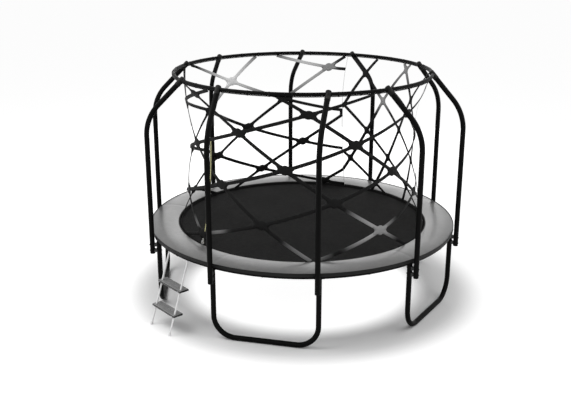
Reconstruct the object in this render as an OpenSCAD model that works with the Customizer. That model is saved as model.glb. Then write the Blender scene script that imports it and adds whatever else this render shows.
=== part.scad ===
// Round garden trampoline with an inner net, ten outside poles on five U-shaped legs,
// a tubular top ring and a two-step ladder. Millimetres, +Z up, ground at z = 0.

/* [Frame] */
// Radius of the frame ring, to the centre of its tube
frame_r = 1801; // [1400:1:2300]
// Height of the frame ring's centre above the ground
frame_h = 843; // [600:1:1000]
// Outside diameter of the frame, leg and pole tubes
tube_d = 58; // [38:1:64]
// Wall of the frame, leg and pole tubes
tube_wall = 1.6; // [1.2:0.1:3]
// Half length of a tee's sleeve along the frame ring
tee_half = 55; // [45:1:62]
// Wall of a tee's sleeve
tee_wall = 2.3; // [1.5:0.1:2.5]
// Length of the tee's spigot inside a leg
spigot_l = 30; // [20:1:32]

/* [Legs] */
// Centre-line radius of a leg's two bottom bends
leg_bend_r = 240; // [120:1:300]
// Depth of the flat pressed along a leg's underside
foot_flat = 0.6; // [0.3:0.1:1]

/* [Poles] */
// Distance of a pole's centre from a leg's centre, outwards
pole_offset = 77; // [70:1:110]
// Distance of a pole from the middle plane of its leg
pole_half_w = 579; // [450:1:700]
// Height of a pole's lower end
pole_foot_h = 673; // [560:1:700]
// Centre-line radius of a pole's bend
pole_bend_r = 495; // [300:1:600]
// Angle that a pole bends inwards
pole_lean = 44.5; // [35:0.5:55]
// Heights of the two spacers between a leg and a pole
spacer_h = [775, 706];
// Size of a spacer block across and up
spacer_w = 36; // [24:1:44]
// Shank diameter of a pole bolt
bolt_d = 8; // [6:1:12]

/* [Top ring] */
// Radius of the top ring, to the centre of its tube
ring_r = 1495; // [1150:1:1650]
// Height of the top ring's centre above the ground
ring_h = 2675; // [2300:1:3000]
// Outside diameter of the top ring's tube
ring_d = 40; // [25:1:48]
// Wall of the top ring's tube
ring_wall = 1.8; // [1:0.1:3]
// Wall of a pole cap over the pole
cap_wall = 2.4; // [1.5:0.1:4]

/* [Mat and springs] */
// Radius of the jumping mat
mat_r = 1570; // [1150:1:1600]
// Height of the mat's top face
mat_h = 856; // [500:1:1000]
// Thickness of the mat
mat_t = 2; // [1:0.5:4]
// Width of the webbing sewn under the mat's edge
border_w = 50; // [30:1:80]
// Springs on one frame rail
springs_per_rail = 8; // [5:1:9]
// Outside diameter of a spring
spring_d = 22; // [14:1:26]
// Wire diameter of a spring's hooks
hook_d = 4.4; // [3:0.1:5]
// Radial length of a V-ring
vring_l = 44; // [30:1:60]

/* [Pad] */
// Inner radius of the pad
pad_in_r = 1495; // [1200:1:1520]
// Height of the pad's outer top edge above its underside
pad_edge_t = 14; // [8:1:20]
// Height of the pad's crown above its edges
pad_crown = 10; // [4:1:16]
// Drop of the skirt below the pad's top edge
skirt_drop = 41; // [25:1:60]
// Thickness of the skirt's cloth
skirt_t = 2.4; // [1.5:0.1:4]

/* [Net] */
// Radius of the net at its waist
net_waist_r = 1325; // [1000:1:1400]
// Height of the waist
net_waist_h = 2060; // [1700:1:2300]
// Width of a strand of the net
strand_w = 26; // [14:1:34]
// Thickness of a strand of the net
strand_t = 5; // [3:0.5:8]
// Width of a knot
knot_w = 112; // [60:1:140]
// Thickness of a knot
knot_t = 20; // [10:1:30]
// Height of the hem that ties the net to the mat
hem_h = 22; // [12:1:40]
// Height of the zip's top end
zip_top_h = 2047; // [1700:1:2055]

/* [Ladder] */
// Distance of each ladder rail from the ladder's middle
rail_half_w = 185; // [160:1:190]
// Diameter of a ladder rail
rail_d = 20; // [16:1:25]
// How far the ladder's feet stand out from its hooks
foot_reach = 285; // [200:1:400]
// Width of a tread
tread_w = 440; // [420:1:500]
// Depth of a tread
tread_depth = 122; // [80:1:160]
// Thickness of a tread
tread_t = 25; // [18:1:35]
// Heights of the two treads' top faces
tread_h = [502, 236];

/* [Hidden] */
$fn = 48;

clear = 0.3;            // gap between pieces that touch on the real object
pairs = 5;              // legs, each of which carries two poles
first_pair = 18;        // azimuth of the first leg's middle
pair_step = 360 / pairs;
tube_r = tube_d / 2;
bend_thin = 0.2;        // a bend's wall is this much thinner on each side than a straight run's
bend_lap = 0.5;         // and a straight run reaches this far into it
ring_tube_r = ring_d / 2;

// Plan positions in a leg's own frame: +X points outwards through its middle
tee_turn = asin(pole_half_w / frame_r);
rail_end = 1.5 / frame_r * 180 / PI;    // a rail stops this turn short of the middle of a tee
leg_top_h = frame_h - tube_r - tee_wall - 2 * clear;
leg_x = frame_r * cos(tee_turn);
pole_x = leg_x + pole_offset;
ring_x = sqrt(pow(ring_r, 2) - pow(pole_half_w, 2));

// Pole: a vertical run, one bend and a straight run that crosses the top ring's centre
pole_in = pole_x - ring_x;
pole_slant = (pole_in - pole_bend_r * (1 - cos(pole_lean))) / sin(pole_lean);
bend_h = ring_h - pole_bend_r * sin(pole_lean) - pole_slant * cos(pole_lean);
cord_r = 5;
cord_h = ring_h - ring_tube_r - cord_r - 2 * clear;
// The pole's end stops this far short of the ring's centre, clear of the ring and of the cord
pole_gap = max(ring_tube_r, (ring_h - cord_h) * cos(pole_lean) + cord_r)
    + tube_r * tan(asin(pole_half_w / ring_r)) * sin(pole_lean) + clear;
cap_below = 70;                 // the cap reaches this far down the pole from the ring
cap_above = 28;                 // and this far above it, before its dome
dome_h = 16;
head_t = 5;                     // height of a bolt's head

// Ladder: a straight lean from its feet to the centre of the frame tube
hook_y = sqrt(pow(frame_r, 2) - pow(rail_half_w, 2));
hook_gap = 1.6;                 // running room of a hook round the curved frame tube
hook_t = 4.5;
hook_w = 16;
foot_l = 34;                    // length of a rubber foot up its rail
foot_wall = 4;
foot_pad_r = rail_d / 2 + foot_wall;
ladder_lean = atan(foot_reach / frame_h);
rail_l = norm([foot_reach, frame_h]);
hook_r = tube_r + hook_gap;
rail_top = hook_r + hook_t - 1;
hook_under = 90 + ladder_lean + 14;     // how far the hook reaches round below its inner side
tread_ahead = 38;               // a tread's front edge stands this far ahead of the rails
screw_head_t = 3;

// The trampoline's axis stands behind the origin, which is the middle of the whole box
front_reach = hook_y + foot_reach + foot_pad_r / cos(ladder_lean);
pad_h = frame_h + tube_r + tee_wall + 2 * clear;
pad_out_r = frame_r + tube_r + tee_wall + 2 * clear;
skirt_top = pad_h + pad_edge_t;
back_reach = max(pole_x + tube_r + head_t, pad_out_r + clear + skirt_t);
axis_y = (front_reach - back_reach) / 2;

// Spring line, just above the middle of the frame tube
spring_h = frame_h + 8;
frame_in_r = sqrt(pow(tube_r, 2) - pow(spring_h - frame_h, 2));
vring_t = 5;
vring_w = 38;
vring_h = mat_h - mat_t - clear - vring_t / 2;
vring_seat = 0.2;               // a spring's inner hook ends this far below a V-ring's middle
spring_in_r = mat_r + vring_l + 2 * clear;
spring_out_r = frame_r - frame_in_r + tube_wall + 3;
spring_tilt = atan((vring_h - vring_seat - spring_h) / (spring_out_r - spring_in_r));
hook_l = 14;                    // straight hook at each end of a spring
spring_wall = 3.2;              // wall of the closed coil, its wire's diameter

// Net profile: a long arc below the waist and a short one above, both upright at the waist
net_low_h = mat_h + clear + hem_h;
net_top_h = cord_h - cord_r - clear;
net_low_r = pad_in_r - 22;
low_fall = net_waist_h - net_low_h;
low_out = net_low_r - net_waist_r;
low_arc_r = (pow(low_fall, 2) + pow(low_out, 2)) / (2 * low_out);
top_rise = net_top_h - net_waist_h;
top_out = ring_r - net_waist_r;
top_arc_r = (pow(top_rise, 2) + pow(top_out, 2)) / (2 * top_out);

// Mesh: knots on a slanted lattice of [degrees, millimetres], one lattice on each length of net,
// with azimuths that run on past 360 from the first seam
wide_start = [321.5, 2444];
wide_down = [22.5, -362];
wide_up = [32.8, 245];
fine_start = [448.3, 2155];
fine_down = [11.2, -425];
fine_up = [15, 305];
seam_az = [43.4, 115.4];
seam_d = 4;
panel_step = 36;
strand_steps = 3;
net_cap_room = 200;             // strands keep clear of a pole this far down from the top ring
tie_step = 9;
tie_w = 12;
tie_t = 1.6;
tie_below = (cord_r + clear + tie_t) / cos(22);     // a tie reaches this far below the cord's centre

// Zip: two tapes with a split chain, on the net's lower arc at azimuth 270
tape_w = 18;
tape_t = 1.6;
chain_w = 3.4;
chain_t = 3.6;
chain_slot = 1.8;
slider_w = 24;
slider_l = 34;
slider_t = 2.6;
slider_h = 934;                 // rest height of the slider's middle
pull_l = 40;
pull_w = 20;
pull_t = 2.4;
pull_pin_r = 1.5;
ear_w = 2.5;
ear_x = pull_w / 2 - 1;         // middle of an ear, from the zip's middle
slider_tilt = asin((net_waist_h - slider_h) / low_arc_r);
slider_y = -net_waist_r - low_arc_r + low_arc_r * cos(slider_tilt);
pin_out = chain_t / 2 + clear + slider_t + 3.4;
pin_y = slider_y - pin_out;
pin_h = slider_h + 2;

// ---- shared shapes ----

// Everything is drawn round the trampoline's axis and moved here once
module on_axis() translate([0, axis_y, 0]) children();

// A leg's own frame, k = 0 .. 4
module at_pair(k) rotate(first_pair + k * pair_step) children();

// Solid or hollow arc of a tube round the trampoline's axis
module ring_arc(r, z, tube, bore, from, turn) {
    rotate(from) translate([0, 0, z]) rotate_extrude(angle = turn, $fn = 180) translate([r, 0])
        difference() {
            circle(tube, $fn = 48);
            if (bore > 0) circle(bore, $fn = 48);
        }
}

// A straight length of the legs' and poles' tube, up +Z
module pipe(l) {
    rotate(45) difference() {
        cylinder(r = tube_r, h = l);
        translate([0, 0, -1]) cylinder(r = tube_r - tube_wall, h = l + 2);
    }
}

// A bend of that tube
module pipe_bend(r, turn) {
    rotate_extrude(angle = turn) translate([r, 0]) difference() {
        circle(tube_r - bend_thin);
        circle(tube_r - tube_wall + bend_thin);
    }
}

// ---- frame ----

// A rail runs from tee to tee: odd ones over a leg, even ones between two legs
function rail_over_leg(i) = i % 2 == 0;
function rail_from(i) = first_pair + floor(i / 2) * pair_step + (rail_over_leg(i) ? -tee_turn : tee_turn);
function rail_turn(i) = rail_over_leg(i) ? 2 * tee_turn : pair_step - 2 * tee_turn;
function spring_az(i, j) = rail_from(i) + (j + 0.5) * rail_turn(i) / springs_per_rail;

module frame_rail(i) {
    hole_in_r = frame_r - tube_r - 6;
    hole_in_h = spring_h + (spring_out_r - hole_in_r) * tan(spring_tilt);
    color([0.09, 0.09, 0.1]) difference() {
        ring_arc(frame_r, frame_h, tube_r, tube_r - tube_wall,
            rail_from(i) + rail_end, rail_turn(i) - 2 * rail_end);
        for (j = [0 : springs_per_rail - 1])
            rotate(spring_az(i, j)) translate([hole_in_r, 0, hole_in_h])
                rotate([0, 90 + spring_tilt, 0]) cylinder(r = hook_d / 2 + clear, h = 22);
    }
}

module tee() {
    sleeve_r = tube_r + clear + tee_wall;
    turn = 2 * tee_half / frame_r * 180 / PI;
    difference() {
        union() {
            ring_arc(frame_r, frame_h, sleeve_r, 0, -turn / 2, turn);
            translate([frame_r, 0, frame_h - sleeve_r - spigot_l])
                cylinder(r = tube_r - tube_wall - clear, h = spigot_l + sleeve_r - tube_r);
        }
        ring_arc(frame_r, frame_h, tube_r + clear, 0, -turn, 2 * turn);
        translate([frame_r, 0, frame_h - sleeve_r - spigot_l - 1])
            cylinder(r = tube_r - 2 * tube_wall - clear, h = spigot_l + 1 - tee_wall);
    }
}

module frame_tees() {
    color([0.1, 0.1, 0.11]) for (i = [0 : 2 * pairs - 1]) rotate(rail_from(i)) tee();
}

// ---- legs ----

// Upright, bend and half of the bottom run on each side
module leg_run() {
    bend_x = pole_half_w - leg_bend_r;
    low = tube_r + leg_bend_r - bend_lap;
    for (side = [-1, 1]) translate([0, side * pole_half_w, low]) pipe(leg_top_h + foot_flat - low);
    for (side = [0, 1]) mirror([0, side, 0]) translate([0, bend_x, tube_r + leg_bend_r])
        rotate([0, 90, 0]) pipe_bend(leg_bend_r, 90);
    translate([0, -bend_x - bend_lap, tube_r]) rotate([-90, 0, 0]) pipe(2 * (bend_x + bend_lap));
}

// Holes of the two bolts that join a pole to its leg, in the pole's own middle plane
module bolt_holes() {
    for (z = spacer_h) translate([leg_x - tube_r - 5, 0, z]) rotate([0, 90, 0])
        cylinder(r = bolt_d / 2 + clear, h = pole_offset + tube_d + 10);
}

module leg(k) {
    color([0.09, 0.09, 0.1]) at_pair(k) difference() {
        translate([leg_x, 0, -foot_flat]) leg_run();
        translate([leg_x - tube_d, -pole_half_w, -foot_flat - 1])
            cube([2 * tube_d, 2 * pole_half_w, foot_flat + 1]);
        for (side = [-1, 1]) translate([0, side * pole_half_w, 0]) bolt_holes();
    }
}

// ---- poles ----

// Two straight runs and the bend between them
module pole_run() {
    translate([pole_x, 0, pole_foot_h]) pipe(bend_h - pole_foot_h + bend_lap);
    translate([pole_x - pole_bend_r, 0, bend_h]) rotate([90, 0, 0]) pipe_bend(pole_bend_r, pole_lean);
    slant() translate([0, 0, -pole_slant - bend_lap]) pipe(pole_slant - pole_gap + bend_lap);
}

// Frame of the slanted run: origin at the ring's centre, +Z up along the pole
module slant() translate([ring_x, 0, ring_h]) rotate([0, -pole_lean, 0]) children();

// Poles 1, 3, .. stand at the clockwise side of their leg, and 2, 4, .. at the other
module at_pole(i) at_pair(floor(i / 2)) translate([0, (i % 2 == 0 ? -1 : 1) * pole_half_w, 0])
    children();

module pole(i) {
    color([0.1, 0.1, 0.11]) at_pole(i) difference() {
        pole_run();
        bolt_holes();
    }
}

module pole_cap(i) {
    cap_r = tube_r + clear + cap_wall;
    difference() {
        at_pole(i) slant() rotate_extrude() cap_outline(cap_r);
        at_pole(i) slant() translate([0, 0, -cap_below - 1])
            cylinder(r = tube_r + clear, h = cap_below + 1 - pole_gap + clear);
        ring_arc(ring_r, ring_h, ring_tube_r + clear, 0, pole_az(i) - 6, 12);
        cord_slot(pole_az(i) - 6, 12);
    }
}

// Slot under the top ring that the net's cord runs through
module cord_slot(from, turn) {
    half = cord_r + clear;
    translate([0, 0, cord_h - half]) rotate(from) rotate_extrude(angle = turn)
        translate([ring_r - half, 0]) square([2 * half, ring_h - cord_h + half]);
}

// Azimuth where a pole meets the top ring
function pole_az(i) =
    first_pair + floor(i / 2) * pair_step + (i % 2 == 0 ? -1 : 1) * asin(pole_half_w / ring_r);

// Half outline of a cap: a straight wall and a domed end
module cap_outline(r) {
    dome = [for (a = [0 : 10 : 90]) [r * cos(a), cap_above + dome_h * sin(a)]];
    polygon(concat([[0, -cap_below], [r, -cap_below]], dome));
}

module pole_caps() {
    color([0.07, 0.07, 0.08]) for (i = [0 : 2 * pairs - 1]) pole_cap(i);
}

module pole_spacers() {
    color([0.14, 0.14, 0.15]) for (k = [0 : pairs - 1], side = [-1, 1], z = spacer_h)
        at_pair(k) translate([0, side * pole_half_w, z]) difference() {
            translate([leg_x, -spacer_w / 2, -spacer_w / 2]) cube([pole_offset, spacer_w, spacer_w]);
            for (x = [leg_x, pole_x]) translate([x, 0, -spacer_w])
                cylinder(r = tube_r + clear, h = 2 * spacer_w);
            translate([leg_x, 0, 0]) rotate([0, 90, 0]) cylinder(r = bolt_d / 2 + clear, h = pole_offset);
        }
}

module pole_bolts() {
    head_r = bolt_d * 0.9;
    seat = tube_r + 0.05;
    color([0.55, 0.56, 0.58]) for (k = [0 : pairs - 1], side = [-1, 1], z = spacer_h)
        at_pair(k) translate([leg_x, side * pole_half_w, z]) rotate([0, 90, 0]) {
            translate([0, 0, -seat - head_t]) cylinder(r = bolt_d / 2, h = 2 * seat + pole_offset + head_t);
            translate([0, 0, -seat - head_t]) cylinder(r = head_r, h = head_t, $fn = 6);
            translate([0, 0, pole_offset + seat]) cylinder(r = head_r, h = head_t - 0.05);
        }
}

// ---- top ring ----

// Each tube passes through one cap and meets the next tubes inside the caps on either side
module ring_tube(k) {
    from = pole_az(2 * k);
    to = k == pairs - 1 ? pole_az(0) + 360 : pole_az(2 * k + 2);
    joint = 0.5 / ring_r * 180 / PI;
    color([0.09, 0.09, 0.1])
        ring_arc(ring_r, ring_h, ring_tube_r, ring_tube_r - ring_wall, from + joint, to - from - 2 * joint);
}

// ---- mat, V-rings and springs ----

module mat() {
    color([0.15, 0.15, 0.155]) translate([0, 0, mat_h - mat_t]) cylinder(r = mat_r, h = mat_t);
}

module mat_border() {
    color([0.08, 0.08, 0.085]) translate([0, 0, mat_h - mat_t - clear - vring_t]) rotate_extrude()
        translate([mat_r - border_w, 0]) square([border_w, vring_t]);
}

// A V-ring: a flat triangle of bent rod, its base against the webbing and its point outwards
module v_ring() {
    w = vring_w / 2;
    rod = 5;
    translate([mat_r + clear, 0, -vring_t / 2]) linear_extrude(height = vring_t) difference() {
        polygon([[0, -w], [0, w], [vring_l, 5], [vring_l, -5]]);
        polygon([[rod, -w + rod * 1.4], [rod, w - rod * 1.4], [vring_l - rod, 2.6], [vring_l - rod, -2.6]]);
    }
}

module each_spring() {
    for (i = [0 : 2 * pairs - 1], j = [0 : springs_per_rail - 1]) rotate(spring_az(i, j)) children();
}

module v_rings() {
    color([0.6, 0.61, 0.63]) each_spring() translate([0, 0, vring_h]) v_ring();
}

// A spring's closed coil as a sleeve, on a rod that ends in a straight hook at each side
module spring() {
    l = (spring_out_r - spring_in_r) / cos(spring_tilt) - hook_d / 2 * tan(abs(spring_tilt));
    coil_l = l - 2 * hook_l - tube_wall - 3;
    translate([spring_in_r + hook_d / 2 * abs(sin(spring_tilt)), 0, vring_h - vring_seat])
        rotate([0, 90 + spring_tilt, 0]) {
        cylinder(r = hook_d / 2, h = l);
        translate([0, 0, hook_l]) difference() {
            cylinder(r = spring_d / 2, h = coil_l);
            translate([0, 0, spring_wall]) cylinder(r = spring_d / 2 - spring_wall, h = coil_l);
        }
    }
}

module springs() {
    color([0.62, 0.63, 0.65]) each_spring() spring();
}

// ---- pad ----

// Half section of the pad: flat below, thin edges, and one long crown above
module pad_section() {
    w = pad_out_r - pad_in_r;
    steps = 12;
    crown = [for (s = [0 : steps]) [pad_in_r + w * (1 - s / steps), pad_edge_t
        + pad_crown * sin(180 * s / steps) - (s == 0 || s == steps ? 1.5 : 0)]];
    in_drop = pad_h - mat_h - 3;
    polygon(concat([[pad_in_r + 1.5, -in_drop], [pad_in_r + 30, -in_drop], [pad_in_r + 70, 0],
        [pad_out_r - 1.5, 0], [pad_out_r, 2]], crown, [[pad_in_r, 2 - in_drop]]));
}

// Room under the pad for the ladder's two hooks
module hook_notches() {
    for (side = [-1, 1]) translate([side * rail_half_w - hook_w / 2 - 3, -hook_y - tube_r - 14, pad_h - 1])
        cube([hook_w + 6, tube_d + 28, 7.5]);
}

module pad() {
    color([0.52, 0.52, 0.53]) difference() {
        translate([0, 0, pad_h]) rotate_extrude($fn = 96) pad_section();
        hook_notches();
    }
}

module pad_skirt() {
    color([0.12, 0.12, 0.13]) translate([0, 0, skirt_top - skirt_drop]) rotate_extrude($fn = 96)
        translate([pad_out_r + clear, 0]) square([skirt_t, skirt_drop - 1]);
}

// Elastic straps that hold the pad down on the frame tube, at the middle of each rail
module pad_straps() {
    turn = 20 / frame_r * 180 / PI;
    color([0.1, 0.1, 0.1]) for (i = [0 : 2 * pairs - 1])
        ring_arc(frame_r, frame_h, tube_r + clear + tee_wall - 0.2, tube_r + clear,
            rail_from(i) + rail_turn(i) / 2 - turn / 2, turn);
}

// ---- net ----

// Radius of the net's middle surface at height z
function net_r(z) = z < net_waist_h
    ? net_waist_r + low_arc_r - sqrt(pow(low_arc_r, 2) - pow(net_waist_h - z, 2))
    : net_waist_r + top_arc_r - sqrt(pow(top_arc_r, 2) - pow(min(z - net_waist_h, top_rise + 60, top_arc_r), 2));
function net_point(p) = [net_r(p[1]) * cos(p[0]), net_r(p[1]) * sin(p[0]), p[1]];
function unit(v) = v / norm(v);
function net_normal(p) = unit(cross(net_point(p + [0.1, 0]) - net_point(p - [0.1, 0]),
    net_point(p + [0, 2]) - net_point(p - [0, 2])));

// Corner points of a strand's flat section at p, for a strand that runs along step
function strand_section(p, step) =
    let (c = net_point(p), n = net_normal(p),
         along = unit(net_point(p + step * 0.02) - net_point(p - step * 0.02)),
         side = unit(cross(n, along)) * strand_w / 2, out = n * strand_t / 2)
    [c + side + out, c - side + out, c - side - out, c + side - out];

// One strand of the net between two neighbouring knots
module strand(p, step) {
    for (s = [0 : strand_steps - 1]) {
        points = concat(strand_section(p + step * s / strand_steps, step),
            strand_section(p + step * (s + 1) / strand_steps, step));
        hull() polyhedron(points = points, faces = [[0, 1, 2, 3, 7, 6, 5, 4]]);
    }
}

// A pulled-tight knot: a flat six-sided lens on the net's surface
module knot(p) {
    c = net_point(p);
    n = net_normal(p);
    across = unit([-sin(p[0]), cos(p[0]), 0]);
    up = cross(n, across);
    rim = [for (k = [0 : 5]) c + (across * cos(60 * k) + up * sin(60 * k) * 0.9) * knot_w / 2];
    hull() polyhedron(points = concat(rim, [c + n * knot_t / 2, c - n * knot_t / 2]),
        faces = [[0, 1, 2, 3, 4, 5, 6, 7]]);
}

// Netting of one lattice between two azimuths, clipped to them and to the net's height
module netting(start, down, up, from, to) {
    reach = up[0] + 4;
    intersection() {
        union() for (i = [-22 : 22], j = [-22 : 22]) {
            p = start + down * i + up * j;
            near = p[0] > from - reach && p[0] < to + reach;
            if (near && p[1] > net_low_h - 450 && p[1] < net_top_h + 450) {
                strand(p, down);
                strand(p, up);
                knot(p);
            }
        }
        translate([0, 0, net_low_h + clear]) linear_extrude(height = net_top_h - net_low_h - clear)
            wedge(from, to);
    }
}

module wedge(from, to) {
    far = 2 * frame_r;
    mid = (from + to) / 2;
    polygon([[0, 0], far * [cos(from), sin(from)], far * [cos(mid), sin(mid)], far * [cos(to), sin(to)]]);
}

// Space of the zip's tapes, of the pole caps and of the ties, which the strands stop short of
module net_cuts() {
    w = 2 * (tape_w + chain_slot + chain_w + clear);
    cap_r = tube_r + cap_wall + 2 * clear;
    for (i = [0 : 2 * pairs - 1]) at_pole(i) slant() translate([0, 0, -net_cap_room])
        rotate(15) cylinder(r = cap_r / cos(15), h = net_cap_room, $fn = 12);
    translate([-w / 2, -net_low_r - 60, 0]) cube([w, net_low_r - net_waist_r + 120, zip_top_h + clear]);
    for (a = [tie_step : tie_step : 360]) if (a % panel_step > 0.1)
        rotate(a) translate([ring_r - 60, -tie_w / 2 - clear, cord_h - tie_below - clear])
            cube([120, tie_w + 2 * clear, 60]);
}

// The k-th of ten panels, from seam to seam
module net_panel(k) {
    seam = (seam_d / 2 + clear) / net_waist_r * 180 / PI;
    from = seam_az[1] + k * panel_step + (k == 0 || k == 8 ? seam : 0);
    to = seam_az[1] + (k + 1) * panel_step - (k == 7 || k == 9 ? seam : 0);
    difference() {
        if (k < 8) netting(wide_start, wide_down, wide_up, from, to);
        else netting(fine_start, fine_down, fine_up, from, to);
        net_cuts();
    }
}

module net_panels(k) {
    color([0.13, 0.13, 0.14]) {
        net_panel(k);
        net_panel(k + 5);
    }
}

module net_hem() {
    color([0.06, 0.06, 0.065]) translate([0, 0, mat_h + clear]) rotate_extrude($fn = 96)
        translate([net_low_r - 2.5, 0]) square([5, hem_h - clear]);
}

module net_top_cord() {
    color([0.08, 0.08, 0.08]) translate([0, 0, cord_h]) rotate_extrude($fn = 96)
        translate([ring_r, 0]) circle(cord_r, $fn = 24);
}

// Outline that wraps the top ring's tube and the cord under it, wider by grow: the middles of its
// straight sides stand clear of both
function tie_outline(grow) =
    let (a = (ring_tube_r + clear + grow) / cos(11), b = tie_below - (tie_t - grow) / cos(22),
         d = ring_h - cord_h, lean = asin((a - b) / d))
    concat([for (t = [-lean : (180 + 2 * lean) / 9 : 180 + lean + 0.01]) a * [cos(t), sin(t)]],
        [for (t = [180 + lean : (180 - 2 * lean) / 4 : 360 - lean + 0.01]) b * [cos(t), sin(t)] - [0, d]]);

module net_ties() {
    color([0.05, 0.05, 0.055]) for (a = [tie_step : tie_step : 360]) if (a % panel_step > 0.1)
        rotate(a) translate([ring_r, tie_w / 2, ring_h]) rotate([90, 0, 0])
            linear_extrude(height = tie_w) difference() {
                polygon(tie_outline(tie_t));
                polygon(tie_outline(0));
            }
}

// A strip on the net's lower arc: half width from x0 to x1, thickness t, over a range of heights
module zip_strip(x0, x1, t, low, high) {
    a0 = -asin((net_waist_h - low) / low_arc_r);
    a1 = -asin((net_waist_h - high) / low_arc_r);
    translate([0, -net_waist_r - low_arc_r, net_waist_h]) rotate([90, 0, 90]) rotate(a0)
        rotate_extrude(angle = a1 - a0) translate([low_arc_r - t / 2, x0]) square([t, x1 - x0]);
}

module zip_tapes() {
    inner = chain_slot / 2;
    color([0.62, 0.62, 0.42]) for (side = [0, 1]) mirror([side, 0, 0]) {
        zip_strip(inner, inner + chain_w, chain_t, net_low_h + clear, zip_top_h);
        zip_strip(inner + chain_w, inner + chain_w + tape_w, tape_t, net_low_h + clear, zip_top_h);
    }
}

// Two plates joined by a thin post that runs between the two halves of the chain
module zip_slider() {
    plate_r = chain_t / 2 + clear + slider_t / 2;
    color([0.8, 0.8, 0.8]) {
        for (side = [-1, 1]) zip_plate(side * plate_r, slider_w, slider_t, slider_l);
        zip_plate(0, chain_slot - 2 * clear, chain_t + 2 * clear + slider_t, slider_l - 12);
        zip_bail();
    }
}

// A block on the zip's arc at the slider: out is its distance outwards from the net's surface
module zip_plate(out, w, t, l) {
    turn = l / low_arc_r * 180 / PI;
    a = -asin((net_waist_h - slider_h) / low_arc_r);
    translate([-w / 2, -net_waist_r - low_arc_r, net_waist_h]) rotate([90, 0, 90]) rotate(a - turn / 2)
        rotate_extrude(angle = turn) translate([low_arc_r - out - t / 2, 0]) square([t, w]);
}

// The bail: two small ears on the outer plate that hold the pull's pin
module zip_bail() {
    ahead = pull_pin_r + clear + 1.2;
    difference() {
        for (side = [-1, 1]) translate([side * ear_x - ear_w / 2, pin_y - ahead, pin_h - ahead])
            cube([ear_w, pin_out - chain_t / 2 - clear - 0.5 + ahead, 2 * ahead]);
        translate([-pull_w, pin_y, pin_h]) rotate([0, 90, 0])
            cylinder(r = pull_pin_r + clear, h = 2 * pull_w);
    }
}

module zip_pull() {
    pin_half = ear_x + ear_w / 2 + 0.5;
    tab_half = ear_x - ear_w / 2 - 2 * clear;
    color([0.82, 0.82, 0.8]) {
        translate([-pin_half, pin_y, pin_h]) rotate([0, 90, 0]) cylinder(r = pull_pin_r, h = 2 * pin_half);
        translate([0, pin_y, pin_h]) rotate([-slider_tilt, 0, 0])
            translate([-tab_half, -pull_t / 2, -pull_l]) cube([2 * tab_half, pull_t, pull_l]);
    }
}

// ---- seams of the net ----

// A flat seam tape along the net's profile
module seam_tape() {
    steps = 28;
    half = seam_d / 2;
    low = net_low_h + 2 * clear;
    high = net_top_h - clear;
    heights = [for (s = [0 : steps]) low + (high - low) * s / steps];
    rotate([90, 0, 0]) translate([0, 0, -half]) linear_extrude(height = seam_d)
        polygon(concat([for (z = heights) [net_r(z) + half, z]],
            [for (s = [steps : -1 : 0]) [net_r(heights[s]) - half, heights[s]]]));
}

module net_seams() {
    color([0.15, 0.15, 0.15]) for (az = seam_az) rotate(az) seam_tape();
}

// ---- ladder ----

// Frame of a ladder rail: origin at the frame tube's centre, +Z up along the rail
module at_rail(side) translate([side * rail_half_w, -hook_y, frame_h]) rotate([-ladder_lean, 0, 0])
    children();

module ladder_rail(side) {
    color([0.85, 0.85, 0.86]) {
        at_rail(side) translate([0, 0, -rail_l + foot_pad_r])
            cylinder(r = rail_d / 2, h = rail_l - rail_top - foot_pad_r);
        // hook: a strip under the frame tube, up its inner side and over its top
        translate([side * rail_half_w - hook_w / 2, -hook_y, frame_h]) rotate([90, 0, 90])
            rotate(-hook_under) rotate_extrude(angle = hook_under + 100) translate([hook_r, 0])
                square([hook_t, hook_w]);
    }
}

module ladder_tread(i) {
    y = -hook_y - foot_reach * (frame_h - tread_h[i]) / frame_h;
    color([0.2, 0.2, 0.21]) difference() {
        translate([-tread_w / 2, y - tread_ahead, tread_h[i] - tread_t])
            cube([tread_w, tread_depth, tread_t]);
        for (side = [-1, 1]) at_rail(side) translate([0, 0, -rail_l])
            cylinder(r = rail_d / 2 + clear, h = rail_l);
    }
}

// A rubber foot: a sleeve round the rail's lower end, cut flat at the ground
module ladder_feet() {
    far = 4 * foot_pad_r;
    color([0.08, 0.08, 0.08]) for (side = [-1, 1]) difference() {
        at_rail(side) translate([0, 0, -rail_l - foot_pad_r])
            cylinder(r = foot_pad_r, h = foot_l + foot_pad_r);
        at_rail(side) translate([0, 0, -rail_l + foot_pad_r - clear])
            cylinder(r = rail_d / 2 + clear, h = foot_l);
        translate([side * rail_half_w - far / 2, -hook_y - foot_reach - far / 2, -far]) cube(far);
    }
}

module ladder_screws() {
    color([0.6, 0.6, 0.62]) for (side = [-1, 1], i = [0, 1]) {
        y = -hook_y - foot_reach * (frame_h - tread_h[i]) / frame_h - tread_ahead - screw_head_t;
        translate([side * rail_half_w, y, tread_h[i] - tread_t / 2]) rotate([-90, 0, 0])
            cylinder(r = 5, h = screw_head_t - 0.05);
    }
}

on_axis() {
    for (i = [0 : 9]) frame_rail(i);
    frame_tees();
    for (k = [0 : 4]) leg(k);
    for (i = [0 : 9]) pole(i);
    pole_spacers();
    pole_bolts();
    pole_caps();
    for (k = [0 : 4]) ring_tube(k);
    springs();
    v_rings();
    mat();
    mat_border();
    pad();
    pad_skirt();
    pad_straps();
    for (k = [0 : 4]) net_panels(k);
    net_hem();
    net_top_cord();
    net_ties();
    net_seams();
    zip_tapes();
    zip_slider();
    zip_pull();
    ladder_rail(-1);  // ladder_rail_left
    ladder_rail(1);  // ladder_rail_right
    ladder_tread(0);  // ladder_tread_upper
    ladder_tread(1);  // ladder_tread_lower
    ladder_feet();
    ladder_screws();
}
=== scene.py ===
# Round garden trampoline with an inner net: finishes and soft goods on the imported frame. Metres, +Z up.
import math

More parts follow.
